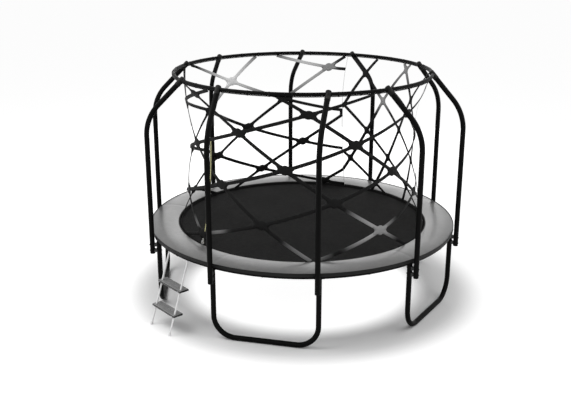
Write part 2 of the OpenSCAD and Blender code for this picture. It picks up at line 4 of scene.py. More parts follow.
import bmesh
import bpy
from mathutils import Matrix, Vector


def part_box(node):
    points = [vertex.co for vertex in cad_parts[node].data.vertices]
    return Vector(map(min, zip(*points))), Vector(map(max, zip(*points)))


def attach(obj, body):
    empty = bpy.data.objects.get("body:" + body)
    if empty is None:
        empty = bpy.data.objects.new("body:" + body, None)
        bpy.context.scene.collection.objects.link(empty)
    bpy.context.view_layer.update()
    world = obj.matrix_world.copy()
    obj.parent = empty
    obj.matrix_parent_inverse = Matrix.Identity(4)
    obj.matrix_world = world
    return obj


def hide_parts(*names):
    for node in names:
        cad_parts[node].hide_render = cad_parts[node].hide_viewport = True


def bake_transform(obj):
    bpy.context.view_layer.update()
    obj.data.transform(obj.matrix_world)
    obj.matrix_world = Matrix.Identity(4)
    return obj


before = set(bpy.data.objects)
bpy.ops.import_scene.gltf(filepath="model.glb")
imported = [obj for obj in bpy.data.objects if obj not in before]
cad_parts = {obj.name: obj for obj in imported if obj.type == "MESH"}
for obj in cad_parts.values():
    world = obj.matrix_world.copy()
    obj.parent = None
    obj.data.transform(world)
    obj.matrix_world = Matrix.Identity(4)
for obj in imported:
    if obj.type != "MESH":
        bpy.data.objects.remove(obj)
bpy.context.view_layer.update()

# ---- camera ----
# A standing person's view from the right of the ladder, aimed a little to the left of the
# trampoline's axis, so that the trampoline stands slightly right of the middle.
mat_low, mat_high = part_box("mat")
AXIS_Y = (mat_low.y + mat_high.y) / 2
MAT_H = mat_high.z
view_azimuth, view_distance, view_h = -41.1, 9.761, 4.230
view_lens = 52.8
aim_aside, aim_h = 0.2, 1.058


def round_axis(azimuth, radius, height):
    """The point at an azimuth in degrees from +X and a radius from the trampoline's axis"""
    a = math.radians(azimuth)
    return Vector((radius * math.cos(a), AXIS_Y + radius * math.sin(a), height))


def placed(name, data):
    """A new object at the origin"""
    obj = bpy.data.objects.new(name, data)
    bpy.context.scene.collection.objects.link(obj)
    return obj


def aimed(obj, place, target):
    """The object stands at a place and looks at the target"""
    obj.location = place
    obj.rotation_euler = (target - obj.location).to_track_quat("-Z", "Y").to_euler()


camera = placed("camera", bpy.data.cameras.new("camera"))
bpy.context.scene.camera = camera
camera.data.lens = view_lens
aimed(camera, round_axis(view_azimuth, view_distance, view_h),
      round_axis(view_azimuth - 90, aim_aside, aim_h))

# ---- legs ----
# Five U-shaped legs of bent steel tube, powder-coated satin black. The coat is a little thinner
# and duller in patches, has the usual orange peel, and holds dust where it faces up.


def tone(red, green=None, blue=None):
    """Linear RGBA of a display colour in 0..255, where one number is a grey"""
    parts = (red, red if green is None else green, red if blue is None else blue)
    return (*(((c / 255 + 0.055) / 1.055) ** 2.4 if c > 10 else c / 255 / 12.92 for c in parts), 1)


def add(tree, kind, inputs=None, **settings):
    """A node of that kind. inputs are values, or sockets to link, by the input's name or number"""
    node = tree.nodes.new(kind)
    for label, value in settings.items():
        setattr(node, label, value)
    for label, value in (inputs or {}).items():
        if isinstance(value, bpy.types.NodeSocket):
            tree.links.new(value, node.inputs[label])
        else:
            node.inputs[label].default_value = value
    return node


def shade(tree, kind, inputs=None, get=0, **settings):
    """One output of a new shader node"""
    return add(tree, "ShaderNode" + kind, inputs, **settings).outputs[get]


def maths(tree, operation, *values):
    """The result of a Math node on one to three values or sockets"""
    return shade(tree, "Math", dict(enumerate(values)), operation=operation)


def times(tree, product, *factors):
    """The product of values or sockets"""
    for factor in factors:
        product = maths(tree, "MULTIPLY", product, factor)
    return product


def mixed(tree, factor, first, second):
    """Colour that goes from the first to the second as the factor goes from 0 to 1"""
    return shade(tree, "Mix", {"Factor": factor, 6: first, 7: second}, get=2, data_type="RGBA")


def spread(tree, value, low, high):
    """A 0..1 value spread to the range from low to high"""
    return shade(tree, "MapRange", {0: value, 3: low, 4: high})


def object_place(tree):
    """The Object coordinates"""
    return shade(tree, "TexCoord", get="Object")


def facing_up(tree):
    """How far the surface looks up"""
    return shade(tree, "SeparateXYZ", {0: shade(tree, "NewGeometry", get="Normal")}, get="Z")


def socket(tree, label, kind, way="INPUT"):
    """A new socket of a tree that is used as a group"""
    return tree.interface.new_socket(label, in_out=way, socket_type="NodeSocket" + kind)


def shader_group(name, sizes, results):
    """An empty shader group with named inputs, where None is a vector, and named outputs"""
    group = bpy.data.node_groups.new(name, "ShaderNodeTree")
    for label, value in sizes.items():
        made = socket(group, label, "Vector" if value is None else "Float")
        if value is not None:
            made.default_value = value
    for label in results:
        socket(group, label, "Float", "OUTPUT")
    return group, add(group, "NodeGroupInput").outputs


def surface_coat_group():
    """Fine bumps of a coat or moulding, and slow patches over it, both on Object coordinates"""
    group, sizes = shader_group("surface coat", {"Grain": 400.0, "Patch": 7.0}, ["Height", "Patches"])
    place = object_place(group)
    grain = shade(group, "TexNoise", {"Vector": place, "Scale": sizes["Grain"], "Detail": 2.0})
    patch = shade(group, "TexNoise", {"Vector": place, "Scale": sizes["Patch"], "Detail": 4.0})
    patches = shade(group, "MapRange", {0: patch, 1: 0.35, 2: 0.65})
    add(group, "NodeGroupOutput", {"Height": grain, "Patches": patches})
    return group


def dust_group():
    """Mask of dust on faces that look up, broken by noise"""
    group, sizes = shader_group("dust", {"Amount": 0.3}, ["Mask"])
    speckle = shade(group, "TexNoise", {"Vector": object_place(group), "Scale": 24.0, "Detail": 6.0})
    cloud = shade(group, "MapRange", {0: speckle, 1: 0.4, 2: 0.75})
    settled = times(group, maths(group, "MAXIMUM", facing_up(group), 0.0), cloud, sizes["Amount"])
    add(group, "NodeGroupOutput", {"Mask": settled})
    return group


surface_coat = surface_coat_group()
dust = dust_group()


def new_material(name, **finish):
    """A material, its tree and its shader, with plain numbers on the shader's own sockets"""
    material = bpy.data.materials.new(name)
    material.use_nodes = True
    shader = material.node_tree.nodes["Principled BSDF"]
    for label, value in finish.items():
        shader.inputs[label.replace("_", " ")].default_value = value
    return material, material.node_tree, shader


def coat_of(tree, patch, grain=400.0):
    """Outputs of the coat's group"""
    return add(tree, "ShaderNodeGroup", {"Grain": grain, "Patch": patch}, node_tree=surface_coat).outputs


def dust_of(tree, amount):
    """Mask of the dust's group"""
    return shade(tree, "Group", {"Amount": amount}, node_tree=dust)


def coloured(tree, shader, factor, dark, light, mask, over):
    """The shader's colour between two tones by a factor, and a third tone over them by a mask"""
    tree.links.new(mixed(tree, mask, mixed(tree, factor, dark, light), over), shader.inputs["Base Color"])


def roughened(tree, shader, patches, rough):
    """The shader's roughness from rough[0] to rough[1] over the patches"""
    tree.links.new(spread(tree, patches, *rough), shader.inputs["Roughness"])


def bumped(tree, shader, height, depth, strength=1.0):
    """The height moves the shader's normal, for relief that is depth metres high"""
    bump = shade(tree, "Bump", {"Height": height, "Distance": depth, "Strength": strength})
    tree.links.new(bump, shader.inputs["Normal"])


def coated(name, dark, light, rough, grain=400.0, patch=7.0, depth=0.0002, dusty=0.25, **finish):
    """A painted or moulded surface between two tones, with dust on it"""
    material, tree, shader = new_material(name, **finish)
    coat = coat_of(tree, patch, grain)
    coloured(tree, shader, coat["Patches"], dark, light, dust_of(tree, dusty), tone(120, 118, 112))
    roughened(tree, shader, coat["Patches"], rough)
    bumped(tree, shader, coat["Height"], depth)
    return material


def finish_nodes(names, material):
    """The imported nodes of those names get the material"""
    for name in names:
        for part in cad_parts[name].material_slots:
            part.material = material


tube_paint = coated("tube_paint", tone(5), tone(9), (0.42, 0.55), dusty=0.02, Specular_IOR_Level=0.05)
finish_nodes([f"leg_{k}" for k in range(1, 6)], tube_paint)

# ---- frame ring ----
# Ten rails of the same tube run from tee to tee. The tees are welded sleeves with the same coat.
finish_nodes([f"frame_rail_{i}" for i in range(1, 11)] + ["frame_tees"], tube_paint)

# ---- poles ----
# Ten bent poles stand outside the legs on moulded spacers, and two blackened bolts hold each. A moulded
# plug closes the lower end, and a moulded cap joins the upper end to the top ring.
leg_start, leg_turn = 18, 72      # azimuth of the first leg's middle, and from leg to leg
pole_x = 1.7824          # from the axis to a pole's upright run, along its leg's middle plane
pole_half_w = 0.579      # from that plane to the pole
tube_r = 0.029
pole_foot_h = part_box("pole_1")[0].z


def piece(name, points, faces, material=None, smooth=True):
    """A new mesh object with its place in its mesh"""
    mesh = bpy.data.meshes.new(name)
    mesh.from_pydata(points, [], faces)
    mesh.polygons.foreach_set("use_smooth", [smooth] * len(mesh.polygons))
    if material:
        mesh.materials.append(material)
    return placed(name, mesh)


def geo(tree, kind, inputs=None, **settings):
    """The first output of a new geometry node"""
    return add(tree, "GeometryNode" + kind, inputs, **settings).outputs[0]


def shape_tree(name, sizes, shape=None):
    """A Geometry Nodes tree with a material, named sizes and maybe a shape as inputs, and its sockets"""
    tree = bpy.data.node_groups.new(name, "GeometryNodeTree")
    socket(tree, "Geometry", "Geometry", "OUTPUT")
    socket(tree, "Geometry", "Geometry")
    socket(tree, "Material", "Material")
    for label, value in sizes.items():
        socket(tree, label, "Int" if isinstance(value, int) else "Float").default_value = value
    if shape:
        socket(tree, shape, "Object")
    return tree, add(tree, "NodeGroupInput").outputs


def end_tree(tree, sizes, geometry):
    """Realized instances with the material, as the tree's result"""
    plain = geo(tree, "RealizeInstances", {0: geometry})
    shaded = geo(tree, "SetShadeSmooth", {0: plain, "Shade Smooth": True})
    skin = geo(tree, "SetMaterial", {0: shaded, "Material": sizes["Material"]})
    add(tree, "NodeGroupOutput", {0: skin})
    return tree


def field(tree, name, kind="FLOAT"):
    """A value that is kept at each seed point"""
    return geo(tree, "InputNamedAttribute", {"Name": name}, data_type=kind)


def at_seeds(tree, sizes, shape, **inputs):
    """The shape at each seed point"""
    return geo(tree, "InstanceOnPoints", {"Points": sizes["Geometry"], "Instance": shape, **inputs})


def vector(tree, *parts):
    """A vector of three values or sockets"""
    return shade(tree, "CombineXYZ", dict(enumerate(parts)))


def on_points(tree, sizes, shape):
    """The shape at each seed point, turned about Z by the point's turn"""
    turn = vector(tree, 0, 0, field(tree, "turn"))
    rotation = add(tree, "FunctionNodeEulerToRotation", {0: turn}).outputs[0]
    return at_seeds(tree, sizes, shape, Rotation=rotation)


def object_shape(tree, sizes, label):
    """Geometry of the object in the input of that name"""
    return add(tree, "GeometryNodeObjectInfo", {"Object": sizes[label]}).outputs["Geometry"]


def grown(name, tree, material, points, edges=(), fields=None, **values):
    """The plain mesh that a tree makes from seed points and the values kept at them"""
    seed = bpy.data.meshes.new(name + "_seed")
    seed.from_pydata(points, edges, [])
    for label, row in (fields or {}).items():
        vectors = hasattr(row[0], "__len__")
        kept = seed.attributes.new(label, "FLOAT_VECTOR" if vectors else "FLOAT", "POINT")
        kept.data.foreach_set(*(("vector", [x for v in row for x in v]) if vectors else ("value", row)))
    obj = placed(name, seed)
    modifier = obj.modifiers.new("shape", "NODES")
    modifier.node_group = tree
    values["Material"] = material
    for item in tree.interface.items_tree:
        if item.in_out == "INPUT" and item.name in values:
            modifier[item.identifier] = values[item.name]
    result = obj.evaluated_get(bpy.context.evaluated_depsgraph_get())
    mesh = bpy.data.meshes.new_from_object(result)
    obj.modifiers.remove(modifier)
    obj.data = mesh
    bpy.data.meshes.remove(seed)
    return obj


def repeated_tree():
    """Copies of one shape at the seed points, each turned about Z by the point's turn"""
    tree, sizes = shape_tree("repeated part", {}, shape="Shape")
    return end_tree(tree, sizes, on_points(tree, sizes, object_shape(tree, sizes, "Shape")))


repeated_part = repeated_tree()


def turned_to(azimuths):
    """The turns to those azimuths, kept at seed points"""
    return {"turn": [math.radians(a) for a in azimuths]}


def repeated(name, shape, places, azimuths, material):
    """One mesh of the shape at each place, turned about Z to the azimuths; the shape itself goes"""
    made = grown(name, repeated_part, material, places, fields=turned_to(azimuths), Shape=shape)
    bpy.data.objects.remove(shape)
    return made


def turned(name, outline):
    """A shape turned about Z from [radius, height] points that start and end on the axis"""
    steps = 24
    ring = outline[1:-1]
    points = [(0, 0, outline[0][1]), (0, 0, outline[-1][1])]
    for s in range(steps):
        a = math.tau * s / steps
        points += [(r * math.cos(a), r * math.sin(a), z) for r, z in ring]
    faces = []
    for s in range(steps):
        here, there = 2 + s * len(ring), 2 + (s + 1) % steps * len(ring)
        faces += [(here + i, there + i, there + i + 1, here + i + 1) for i in range(len(ring) - 1)]
        faces += [(0, there, here), (1, here + len(ring) - 1, there + len(ring) - 1)]
    return piece(name, points, faces)


def across(azimuth, side):
    """The way from the axis out to an azimuth, side metres long"""
    return round_axis(azimuth, side, 0) - round_axis(0, 0, 0)


def fitted(part, body, slot, *nodes):
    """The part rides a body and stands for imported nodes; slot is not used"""
    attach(part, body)
    if nodes:
        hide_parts(*nodes)


cap_plastic = coated("cap_plastic", tone(8), tone(13), (0.5, 0.6), grain=900.0, Specular_IOR_Level=0.15)
spacer_plastic = coated("spacer_plastic", tone(26), tone(34), (0.5, 0.65), grain=700.0)
finish_nodes([f"pole_{i}" for i in range(1, 11)], tube_paint)
finish_nodes(["pole_caps"], cap_plastic)
finish_nodes(["pole_spacers"], spacer_plastic)

plug_outline = [(0, -0.004), (0.022, -0.004), (0.0272, -0.003), (tube_r, -0.001), (tube_r, 0.001),
                (0.0272, 0.0015), (0.0262, 0.012), (0, 0.012)]
leg_middles = [leg_start + leg_turn * k for k in range(5)]
pole_feet = [round_axis(middle, pole_x, pole_foot_h) + across(middle + 90, side)
             for middle in leg_middles for side in (-pole_half_w, pole_half_w)]
fitted(repeated("pole_plugs", turned("plug", plug_outline), pole_feet, [0] * len(pole_feet), cap_plastic),
       "trampoline", "cap_plastic")


def zinc_finish(name, dark, light, rough):
    """Zinc-plated steel, with the faint spangle and the dull patches of its plating"""
    material, tree, shader = new_material(name, Metallic=0.9)
    spangle = shade(tree, "TexVoronoi", {"Vector": object_place(tree), "Scale": 260.0}, get="Color")
    coat = coat_of(tree, patch=30.0)
    tree.links.new(mixed(tree, spangle, dark, light), shader.inputs["Base Color"])
    roughened(tree, shader, coat["Patches"], rough)
    bumped(tree, shader, coat["Height"], 0.0001)
    return material


bolt_black = zinc_finish("bolt_black", tone(18), tone(26), (0.5, 0.6))
finish_nodes(["pole_bolts"], bolt_black)

# ---- top ring ----
# Five arcs of thinner tube, with the same coat, that the pole caps hold together.
finish_nodes([f"ring_tube_{k}" for k in range(1, 6)], tube_paint)

# ---- jumping mat ----
# A disc of woven polypropylene, matt black and a little dusty, turned under at its edge on to a
# ring of webbing that is sewn with two rows of thread.
MAT_R = mat_high.x
mat_t = mat_high.z - mat_low.z
border_low, border_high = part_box("mat_border")
border_w = 0.050


def weave_group():
    """Plain weave: threads over and under each other, so many to a metre of the coordinates"""
    group, sizes = shader_group("weave", {"Vector": None, "Threads": 600.0}, ["Height", "Weft"])
    axes = add(group, "ShaderNodeSeparateXYZ", {0: sizes["Vector"]}).outputs
    count = [times(group, axes[label], sizes["Threads"]) for label in ("X", "Y")]
    crowns = [maths(group, "ABSOLUTE", maths(group, "SINE", times(group, c, math.pi))) for c in count]
    cells = maths(group, "ADD", *[maths(group, "FLOOR", c) for c in count])
    over = maths(group, "PINGPONG", cells, 1.0)
    height = shade(group, "Mix", {0: over, 2: crowns[0], 3: crowns[1]})
    add(group, "NodeGroupOutput", {"Height": height, "Weft": over})
    return group


weave = weave_group()


def cloth(name, dark, light, threads, rough, along="UV", patch=7.0, dusty=0.15, **finish):
    """Woven cloth between two tones. along is UV, or Object for a flat piece"""
    material, tree, shader = new_material(name, Roughness=rough, **finish)
    place = shade(tree, "TexCoord", get=along)
    yarn = add(tree, "ShaderNodeGroup", {"Vector": place, "Threads": threads}, node_tree=weave).outputs
    worn = maths(tree, "MULTIPLY_ADD", yarn["Weft"], 0.3, coat_of(tree, patch)["Patches"])
    worn = maths(tree, "MINIMUM", worn, 1.0)
    coloured(tree, shader, worn, dark, light, dust_of(tree, dusty), tone(128, 126, 120))
    bumped(tree, shader, yarn["Height"], 0.0003)
    return material


def band_faces(rows, n, closed=True):
    """Faces between rows of n points, round each row. closed joins the last row to the first;
    otherwise each end gets a face"""
    faces = [(k * n + i, k * n + (i + 1) % n, (k + 1) % rows * n + (i + 1) % n, (k + 1) % rows * n + i)
             for k in range(rows if closed else rows - 1) for i in range(n)]
    return faces if closed else faces + [tuple(range(n))[::-1], tuple(range((rows - 1) * n, rows * n))]


def mapped(obj, spots):
    """The object with a UV map that has those spots at the corners of its faces"""
    obj.data.uv_layers.new(name="UVMap").data.foreach_set("uv", [x for spot in spots for x in spot])
    return obj


def hoop(name, section, steps, material):
    """A closed ring about the axis. section(azimuth) gives its outline of [radius, height] points,
    anticlockwise; the UV map runs in metres round the ring and round the outline"""
    rows = [section(360 * s / steps) for s in range(steps)]
    n = len(rows[0])
    points = [round_axis(360 * s / steps, r, z) for s, row in enumerate(rows) for r, z in row]
    faces = [(a, d, c, b) for a, b, c, d in band_faces(steps, n)]
    run = [0.0]
    for i in range(n):
        run.append(run[-1] + math.dist(rows[0][i], rows[0][(i + 1) % n]))
    mean_r = sum(r for r, z in rows[0]) / n
    step = math.tau * mean_r / steps
    spots = [(u * step, run[v]) for s in range(steps) for i in range(n)
             for u, v in ((s, i), (s + 1, i), (s + 1, i + 1), (s, i + 1))]
    return mapped(piece(name, points, faces, material), spots)


def mat_section(azimuth):
    """Half section of the mat from its middle: flat, with a rounded edge"""
    top = [MAT_R * x for x in (0.97, 0.85, 0.7, 0.55, 0.4, 0.25, 0.1, 0)]
    edge = [(MAT_R - 0.0006, MAT_H - mat_t), (MAT_R, MAT_H - mat_t / 2), (MAT_R - 0.0006, MAT_H)]
    return [(r, MAT_H - mat_t) for r in top[::-1]] + edge + [(r, MAT_H) for r in top]


def welded(obj):
    """The mesh with its doubles merged and its faces turned outwards"""
    shape = bmesh.new()
    shape.from_mesh(obj.data)
    bmesh.ops.remove_doubles(shape, verts=shape.verts, dist=1e-5)
    bmesh.ops.dissolve_degenerate(shape, edges=shape.edges, dist=1e-6)
    bmesh.ops.recalc_face_normals(shape, faces=shape.faces)
    shape.to_mesh(obj.data)
    shape.free()
    return obj


mat_weave = cloth("mat_weave", tone(19), tone(24), 700.0, 0.85, along="Object", patch=1.6, dusty=0.02,
                  Specular_IOR_Level=0.06)
mat = welded(hoop("jumping_mat", mat_section, 180, mat_weave))
fitted(mat, "mat", "mat_weave", "mat")


def border_section(azimuth):
    """Webbing folded round the V-rings: thicker at its outer edge, where each ring pulls it"""
    pull = 0.0015 * math.cos(math.radians(azimuth * 80))
    low, high, outer = border_low.z, border_high.z, MAT_R - 0.001
    return [(outer - border_w, high - 0.003), (outer - 0.02, low + 0.0012), (outer - 0.008 + pull, low),
            (outer - 0.001 + pull, low + 0.0015), (outer - 0.001 + pull, high - 0.001), (outer - 0.006, high),
            (outer - border_w, high)]


webbing = cloth("webbing", tone(14), tone(20), 420.0, 0.75, dusty=0.03, Specular_IOR_Level=0.12)
fitted(hoop("mat_webbing", border_section, 480, webbing), "mat", "webbing", "mat_border")
stitch_rows = [(MAT_R - 0.016, border_low.z), (MAT_R - 0.034, border_low.z + 0.0012)]
stitch_pitch = 0.014


def stitch_tree():
    """Short stitches of thread, each along the ring at its seed point"""
    tree, sizes = shape_tree("stitches", {"Length": 0.008, "Thickness": 0.0012})
    radius = times(tree, sizes["Thickness"], 0.5)
    rod = geo(tree, "MeshCylinder", {"Vertices": 5, "Radius": radius, "Depth": sizes["Length"]})
    laid = geo(tree, "Transform", {0: rod, "Rotation": (math.pi / 2, 0, 0)})
    return end_tree(tree, sizes, on_points(tree, sizes, laid))


thread = cloth("thread", tone(52), tone(64), 900.0, 0.6, along="Object")
places, turns = [], []
for radius, height in stitch_rows:
    count = round(math.tau * radius / stitch_pitch)
    places += [round_axis(360 * k / count, radius, height) for k in range(count)]
    turns += [math.tau * k / count for k in range(count)]
fitted(grown("mat_stitches", stitch_tree(), thread, places, fields={"turn": turns}), "mat", "webbing")

# ---- V-rings and springs ----
# Eighty V-rings of bent rod sit in the webbing's edge. A close-wound spring of zinc-plated wire
# runs from each to a hole in the frame ring.
SPRINGS_PER_RAIL = 8
frame_r = 1.801
tee_turn = math.degrees(math.asin(pole_half_w / frame_r))        # from a leg's middle plane to its tee
spring_in, spring_out = 1.6146, 1.7777        # radii of a spring's ends
vring_out = 0.022        # from the mat's edge to the middle of a V-ring


def middle_h(node):
    """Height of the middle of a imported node"""
    low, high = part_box(node)
    return (low.z + high.z) / 2


def around(azimuths, radius, height):
    """Places round the axis at those azimuths"""
    return [round_axis(a, radius, height) for a in azimuths]


def spring_azimuths(rail):
    """Azimuths of one rail's springs; even rails lie over a leg, odd ones between two legs"""
    over_leg = rail % 2 == 0
    start = leg_start + rail // 2 * leg_turn + (-tee_turn if over_leg else tee_turn)
    turn = 2 * tee_turn if over_leg else leg_turn - 2 * tee_turn
    return [start + (j + 0.5) * turn / SPRINGS_PER_RAIL for j in range(SPRINGS_PER_RAIL)]


def v_ring_tree():
    """A trapezium of round rod, wide at the webbing and narrow at the spring"""
    tree, sizes = shape_tree("V-rings", {"Length": 0.044, "Width": 0.038, "Tip": 0.010, "Rod": 0.0022})
    outline = geo(tree, "CurvePrimitiveQuadrilateral", {
        "Height": sizes["Length"], "Bottom Width": sizes["Width"], "Top Width": sizes["Tip"], "Offset": 0.0},
        mode="TRAPEZOID")
    bent = geo(tree, "FilletCurve", {"Curve": outline, "Radius": 0.004, "Count": 3}, mode="POLY")
    rod = geo(tree, "CurvePrimitiveCircle", {"Resolution": 6, "Radius": sizes["Rod"]})
    ring = geo(tree, "CurveToMesh", {0: bent, 1: rod})
    laid = geo(tree, "Transform", {0: ring, "Rotation": (0, 0, -math.pi / 2)})
    return end_tree(tree, sizes, on_points(tree, sizes, laid))


zinc_steel = zinc_finish("zinc_steel", tone(150, 152, 156), tone(186, 188, 190), (0.3, 0.5))
ring_azimuths = [a for rail in range(10) for a in spring_azimuths(rail)]
ring_places = around(ring_azimuths, MAT_R + vring_out, middle_h("v_rings"))
fitted(grown("v_ring_rods", v_ring_tree(), zinc_steel, ring_places, fields=turned_to(ring_azimuths)),
       "mat", "zinc_steel", "v_rings")


def stretched(part, start, end, slot, *nodes):
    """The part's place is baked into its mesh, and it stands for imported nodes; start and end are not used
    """
    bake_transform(part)
    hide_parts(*nodes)


def joined(tree, first, second):
    """Both geometries in one"""
    both = add(tree, "GeometryNodeJoinGeometry", {0: first})
    tree.links.new(second, both.inputs[0])
    return both.outputs[0]


def spring_tree():
    """A spring of one wire along X from its seed point: a hook at the V-ring and a close coil"""
    tree, sizes = shape_tree("springs", {"Length": 0.163, "Hook": 0.014, "Radius": 0.0094,
                                         "Wire": 0.0016, "Turns": 26, "Steps": 280})
    line = geo(tree, "CurvePrimitiveLine", {"End": (1, 0, 0)})
    wire = geo(tree, "ResampleCurve", {0: line, "Count": sizes["Steps"]})
    along = times(tree, geo(tree, "SplineParameter"), sizes["Length"])
    coil_end = maths(tree, "SUBTRACT", sizes["Length"], sizes["Hook"])
    coiled = shade(tree, "MapRange", {0: along, 1: sizes["Hook"], 2: coil_end})
    rise = shade(tree, "MapRange", {0: coiled, 2: 0.03})
    fall = shade(tree, "MapRange", {0: coiled, 1: 1.0, 2: 0.97})
    radius = times(tree, sizes["Radius"], maths(tree, "MINIMUM", rise, fall))
    angle = times(tree, coiled, sizes["Turns"], math.tau)
    aside, up = (times(tree, radius, maths(tree, wave, angle)) for wave in ("SINE", "COSINE"))
    coil = geo(tree, "SetPosition", {0: wire, "Position": vector(tree, along, aside, up)})
    hook = geo(tree, "CurveArc", {
        "Resolution": 9, "Radius": 0.005, "Start Angle": math.pi / 2, "Sweep Angle": 1.3 * math.pi})
    stood = geo(tree, "Transform", {
        0: hook, "Rotation": (math.pi / 2, 0, 0), "Translation": (0, 0, -0.005)})
    section = geo(tree, "CurvePrimitiveCircle", {"Resolution": 4, "Radius": sizes["Wire"]})
    spring = geo(tree, "CurveToMesh", {0: joined(tree, coil, stood), 1: section, "Fill Caps": True})
    return end_tree(tree, sizes, on_points(tree, sizes, spring))


springs = spring_tree()
spring_h = middle_h("springs")
for rail in range(10):
    for half in (0, 1):
        four = spring_azimuths(rail)[4 * half:4 * half + 4]
        group = grown(f"springs_{2 * rail + half + 1}", springs, zinc_steel,
                      around(four, spring_in, spring_h), fields=turned_to(four))
        middle = sum(four) / 4
        stretched(group, round_axis(middle, spring_out - 0.004, spring_h),
                  round_axis(middle, spring_in + 0.002, spring_h), "zinc_steel", "springs")

# ---- pad ----
# A ring of foam under glossy grey coated cloth, sewn from five lengths, with a black binding round
# its inner edge. It is blown up a little by a cloth simulation that its seams hold down.
pad_low, pad_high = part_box("pad")
foam_t = 0.024
PAD_IN = 1.495
PAD_OUT = pad_high.x
PAD_BASE = pad_high.z - foam_t
pad_edge_h, pad_crown = 0.007, 0.018
pad_steps, pad_rows = 400, 13
seam_every = pad_steps // 5
seam_dip = 0.0025


def pad_section(azimuth):
    """The pad's outline: flat below, low edges and one shallow crown above"""
    lip = pad_low.z
    low = [(PAD_IN + 0.002, lip), (PAD_IN + 0.030, lip), (PAD_IN + 0.070, PAD_BASE),
           (PAD_IN + 0.15, PAD_BASE), (PAD_OUT - 0.08, PAD_BASE), (PAD_OUT - 0.0015, PAD_BASE),
           (PAD_OUT, PAD_BASE + 0.003)]
    crown = [(PAD_OUT + (PAD_IN - PAD_OUT) * x, PAD_BASE + pad_edge_h + pad_crown * math.sin(math.pi * x))
             for x in (s / pad_rows for s in range(pad_rows + 1))]
    return low + crown + [(PAD_IN, (lip + PAD_BASE + pad_edge_h) / 2), (PAD_IN, lip + 0.002)]


def blown_up(obj, held, pressure, frames, cap):
    """The mesh after its cloth is blown up with its held points fixed, and no point moved over cap"""
    group = obj.vertex_groups.new(name="held")
    group.add(held, 1.0, "REPLACE")
    sim = obj.modifiers.new("blown up", "CLOTH")
    for label, value in {
            "quality": 4, "mass": 0.3, "tension_stiffness": 12, "compression_stiffness": 12,
            "shear_stiffness": 6, "bending_stiffness": 0.4, "vertex_group_mass": "held",
            "use_pressure": True, "uniform_pressure_force": pressure}.items():
        setattr(sim.settings, label, value)
    sim.settings.effector_weights.gravity = 0
    sim.collision_settings.use_collision = False
    scene = bpy.context.scene
    for step in range(1, frames + 1):
        scene.frame_set(step)
    blown = obj.evaluated_get(bpy.context.evaluated_depsgraph_get()).to_mesh()
    moves = [end.co - start.co for start, end in zip(obj.data.vertices, blown.vertices)]
    obj.modifiers.remove(sim)
    scene.frame_set(1)
    for vertex, move in zip(obj.data.vertices, moves):
        vertex.co += move * min(1.0, cap / max(move.length, 1e-9))
    obj.vertex_groups.remove(group)


def coated_cloth():
    """Coated cloth with a leather grain, soft creases, duller patches and dust where it faces up"""
    material, tree, shader = new_material("pad_cover", Coat_Weight=0.6, Coat_Roughness=0.28)
    place = object_place(tree)
    pores = shade(tree, "TexVoronoi", {"Vector": place, "Scale": 420.0}, get="Distance")
    creases = shade(tree, "TexNoise", {"Vector": place, "Scale": 11.0, "Detail": 3.0})
    patches = coat_of(tree, 2.4)["Patches"]
    coloured(tree, shader, patches, tone(62), tone(70), dust_of(tree, 0.08), tone(150, 146, 136))
    roughened(tree, shader, patches, (0.4, 0.5))
    bumped(tree, shader, maths(tree, "MULTIPLY_ADD", creases, 6.0, pores), 0.0005, 0.5)
    return material


pad = hoop("pad_cushion", pad_section, pad_steps, coated_cloth())
points_per_section = len(pad_section(0))
top_first = 7            # first point of the section's crown
top_last = top_first + pad_rows
held = [s * points_per_section + i for s in range(pad_steps) for i in range(points_per_section)
        if s % seam_every == 0 or not top_first < i < top_last]
blown_up(pad, held, pressure=0.6, frames=12, cap=0.006)
for s in range(0, pad_steps, seam_every):
    for i in range(top_first, top_last + 1):
        pad.data.vertices[s * points_per_section + i].co.z -= seam_dip
smooth = pad.modifiers.new("smooth", "SUBSURF")
smooth.levels = smooth.render_levels = 1
fitted(pad, "trampoline", "pad_cover", "pad")


def binding_section(azimuth):
    """A black binding sewn round the pad's inner edge"""
    r, low, high = PAD_IN - 0.0004, pad_low.z + 0.001, PAD_BASE + pad_edge_h
    return [(r - 0.0022, low), (r, low), (r, high), (r + 0.010, high + 0.0018), (r + 0.010, high + 0.0028),
            (r - 0.0005, high + 0.0016), (r - 0.0022, high - 0.002)]


binding_cloth = cloth("binding_cloth", tone(14), tone(20), 500.0, 0.75, Specular_IOR_Level=0.2)
fitted(hoop("pad_binding", binding_section, 240, binding_cloth), "trampoline", "pad_cover")

# ---- pad skirt and straps ----
# A skirt of black cloth hangs from the pad's outer edge over the frame ring, hemmed at its foot.
# Ten elastic straps under the pad go round the rails.
skirt_low, skirt_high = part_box("pad_skirt")
SKIRT_R = skirt_high.x - 0.0012


def skirt_section(azimuth):
    """Thin cloth with shallow gathers that grow towards its elastic foot"""
    wave = 0.0011 * math.sin(math.radians(azimuth * 90)) + 0.0007 * math.sin(math.radians(azimuth * 37))
    heights = [skirt_high.z + (skirt_low.z - skirt_high.z) * x for x in (0, 0.25, 0.5, 0.75, 0.86, 1)]
    middle = [SKIRT_R + wave * (x / 5) for x in range(6)]
    half = [0.0006, 0.0006, 0.0006, 0.0006, 0.0011, 0.0011]
    inner = [(r - h, z) for r, z, h in zip(middle, heights, half)]
    outer = [(r + h, z) for r, z, h in zip(middle, heights, half)]
    return inner + outer[::-1]


skirt_cloth = cloth("skirt_cloth", tone(8), tone(13), 480.0, 0.6, dusty=0.05, Specular_IOR_Level=0.2)
skirt = hoop("skirt", skirt_section, 720, skirt_cloth)
fitted(skirt, "trampoline", "skirt_cloth", "pad_skirt")


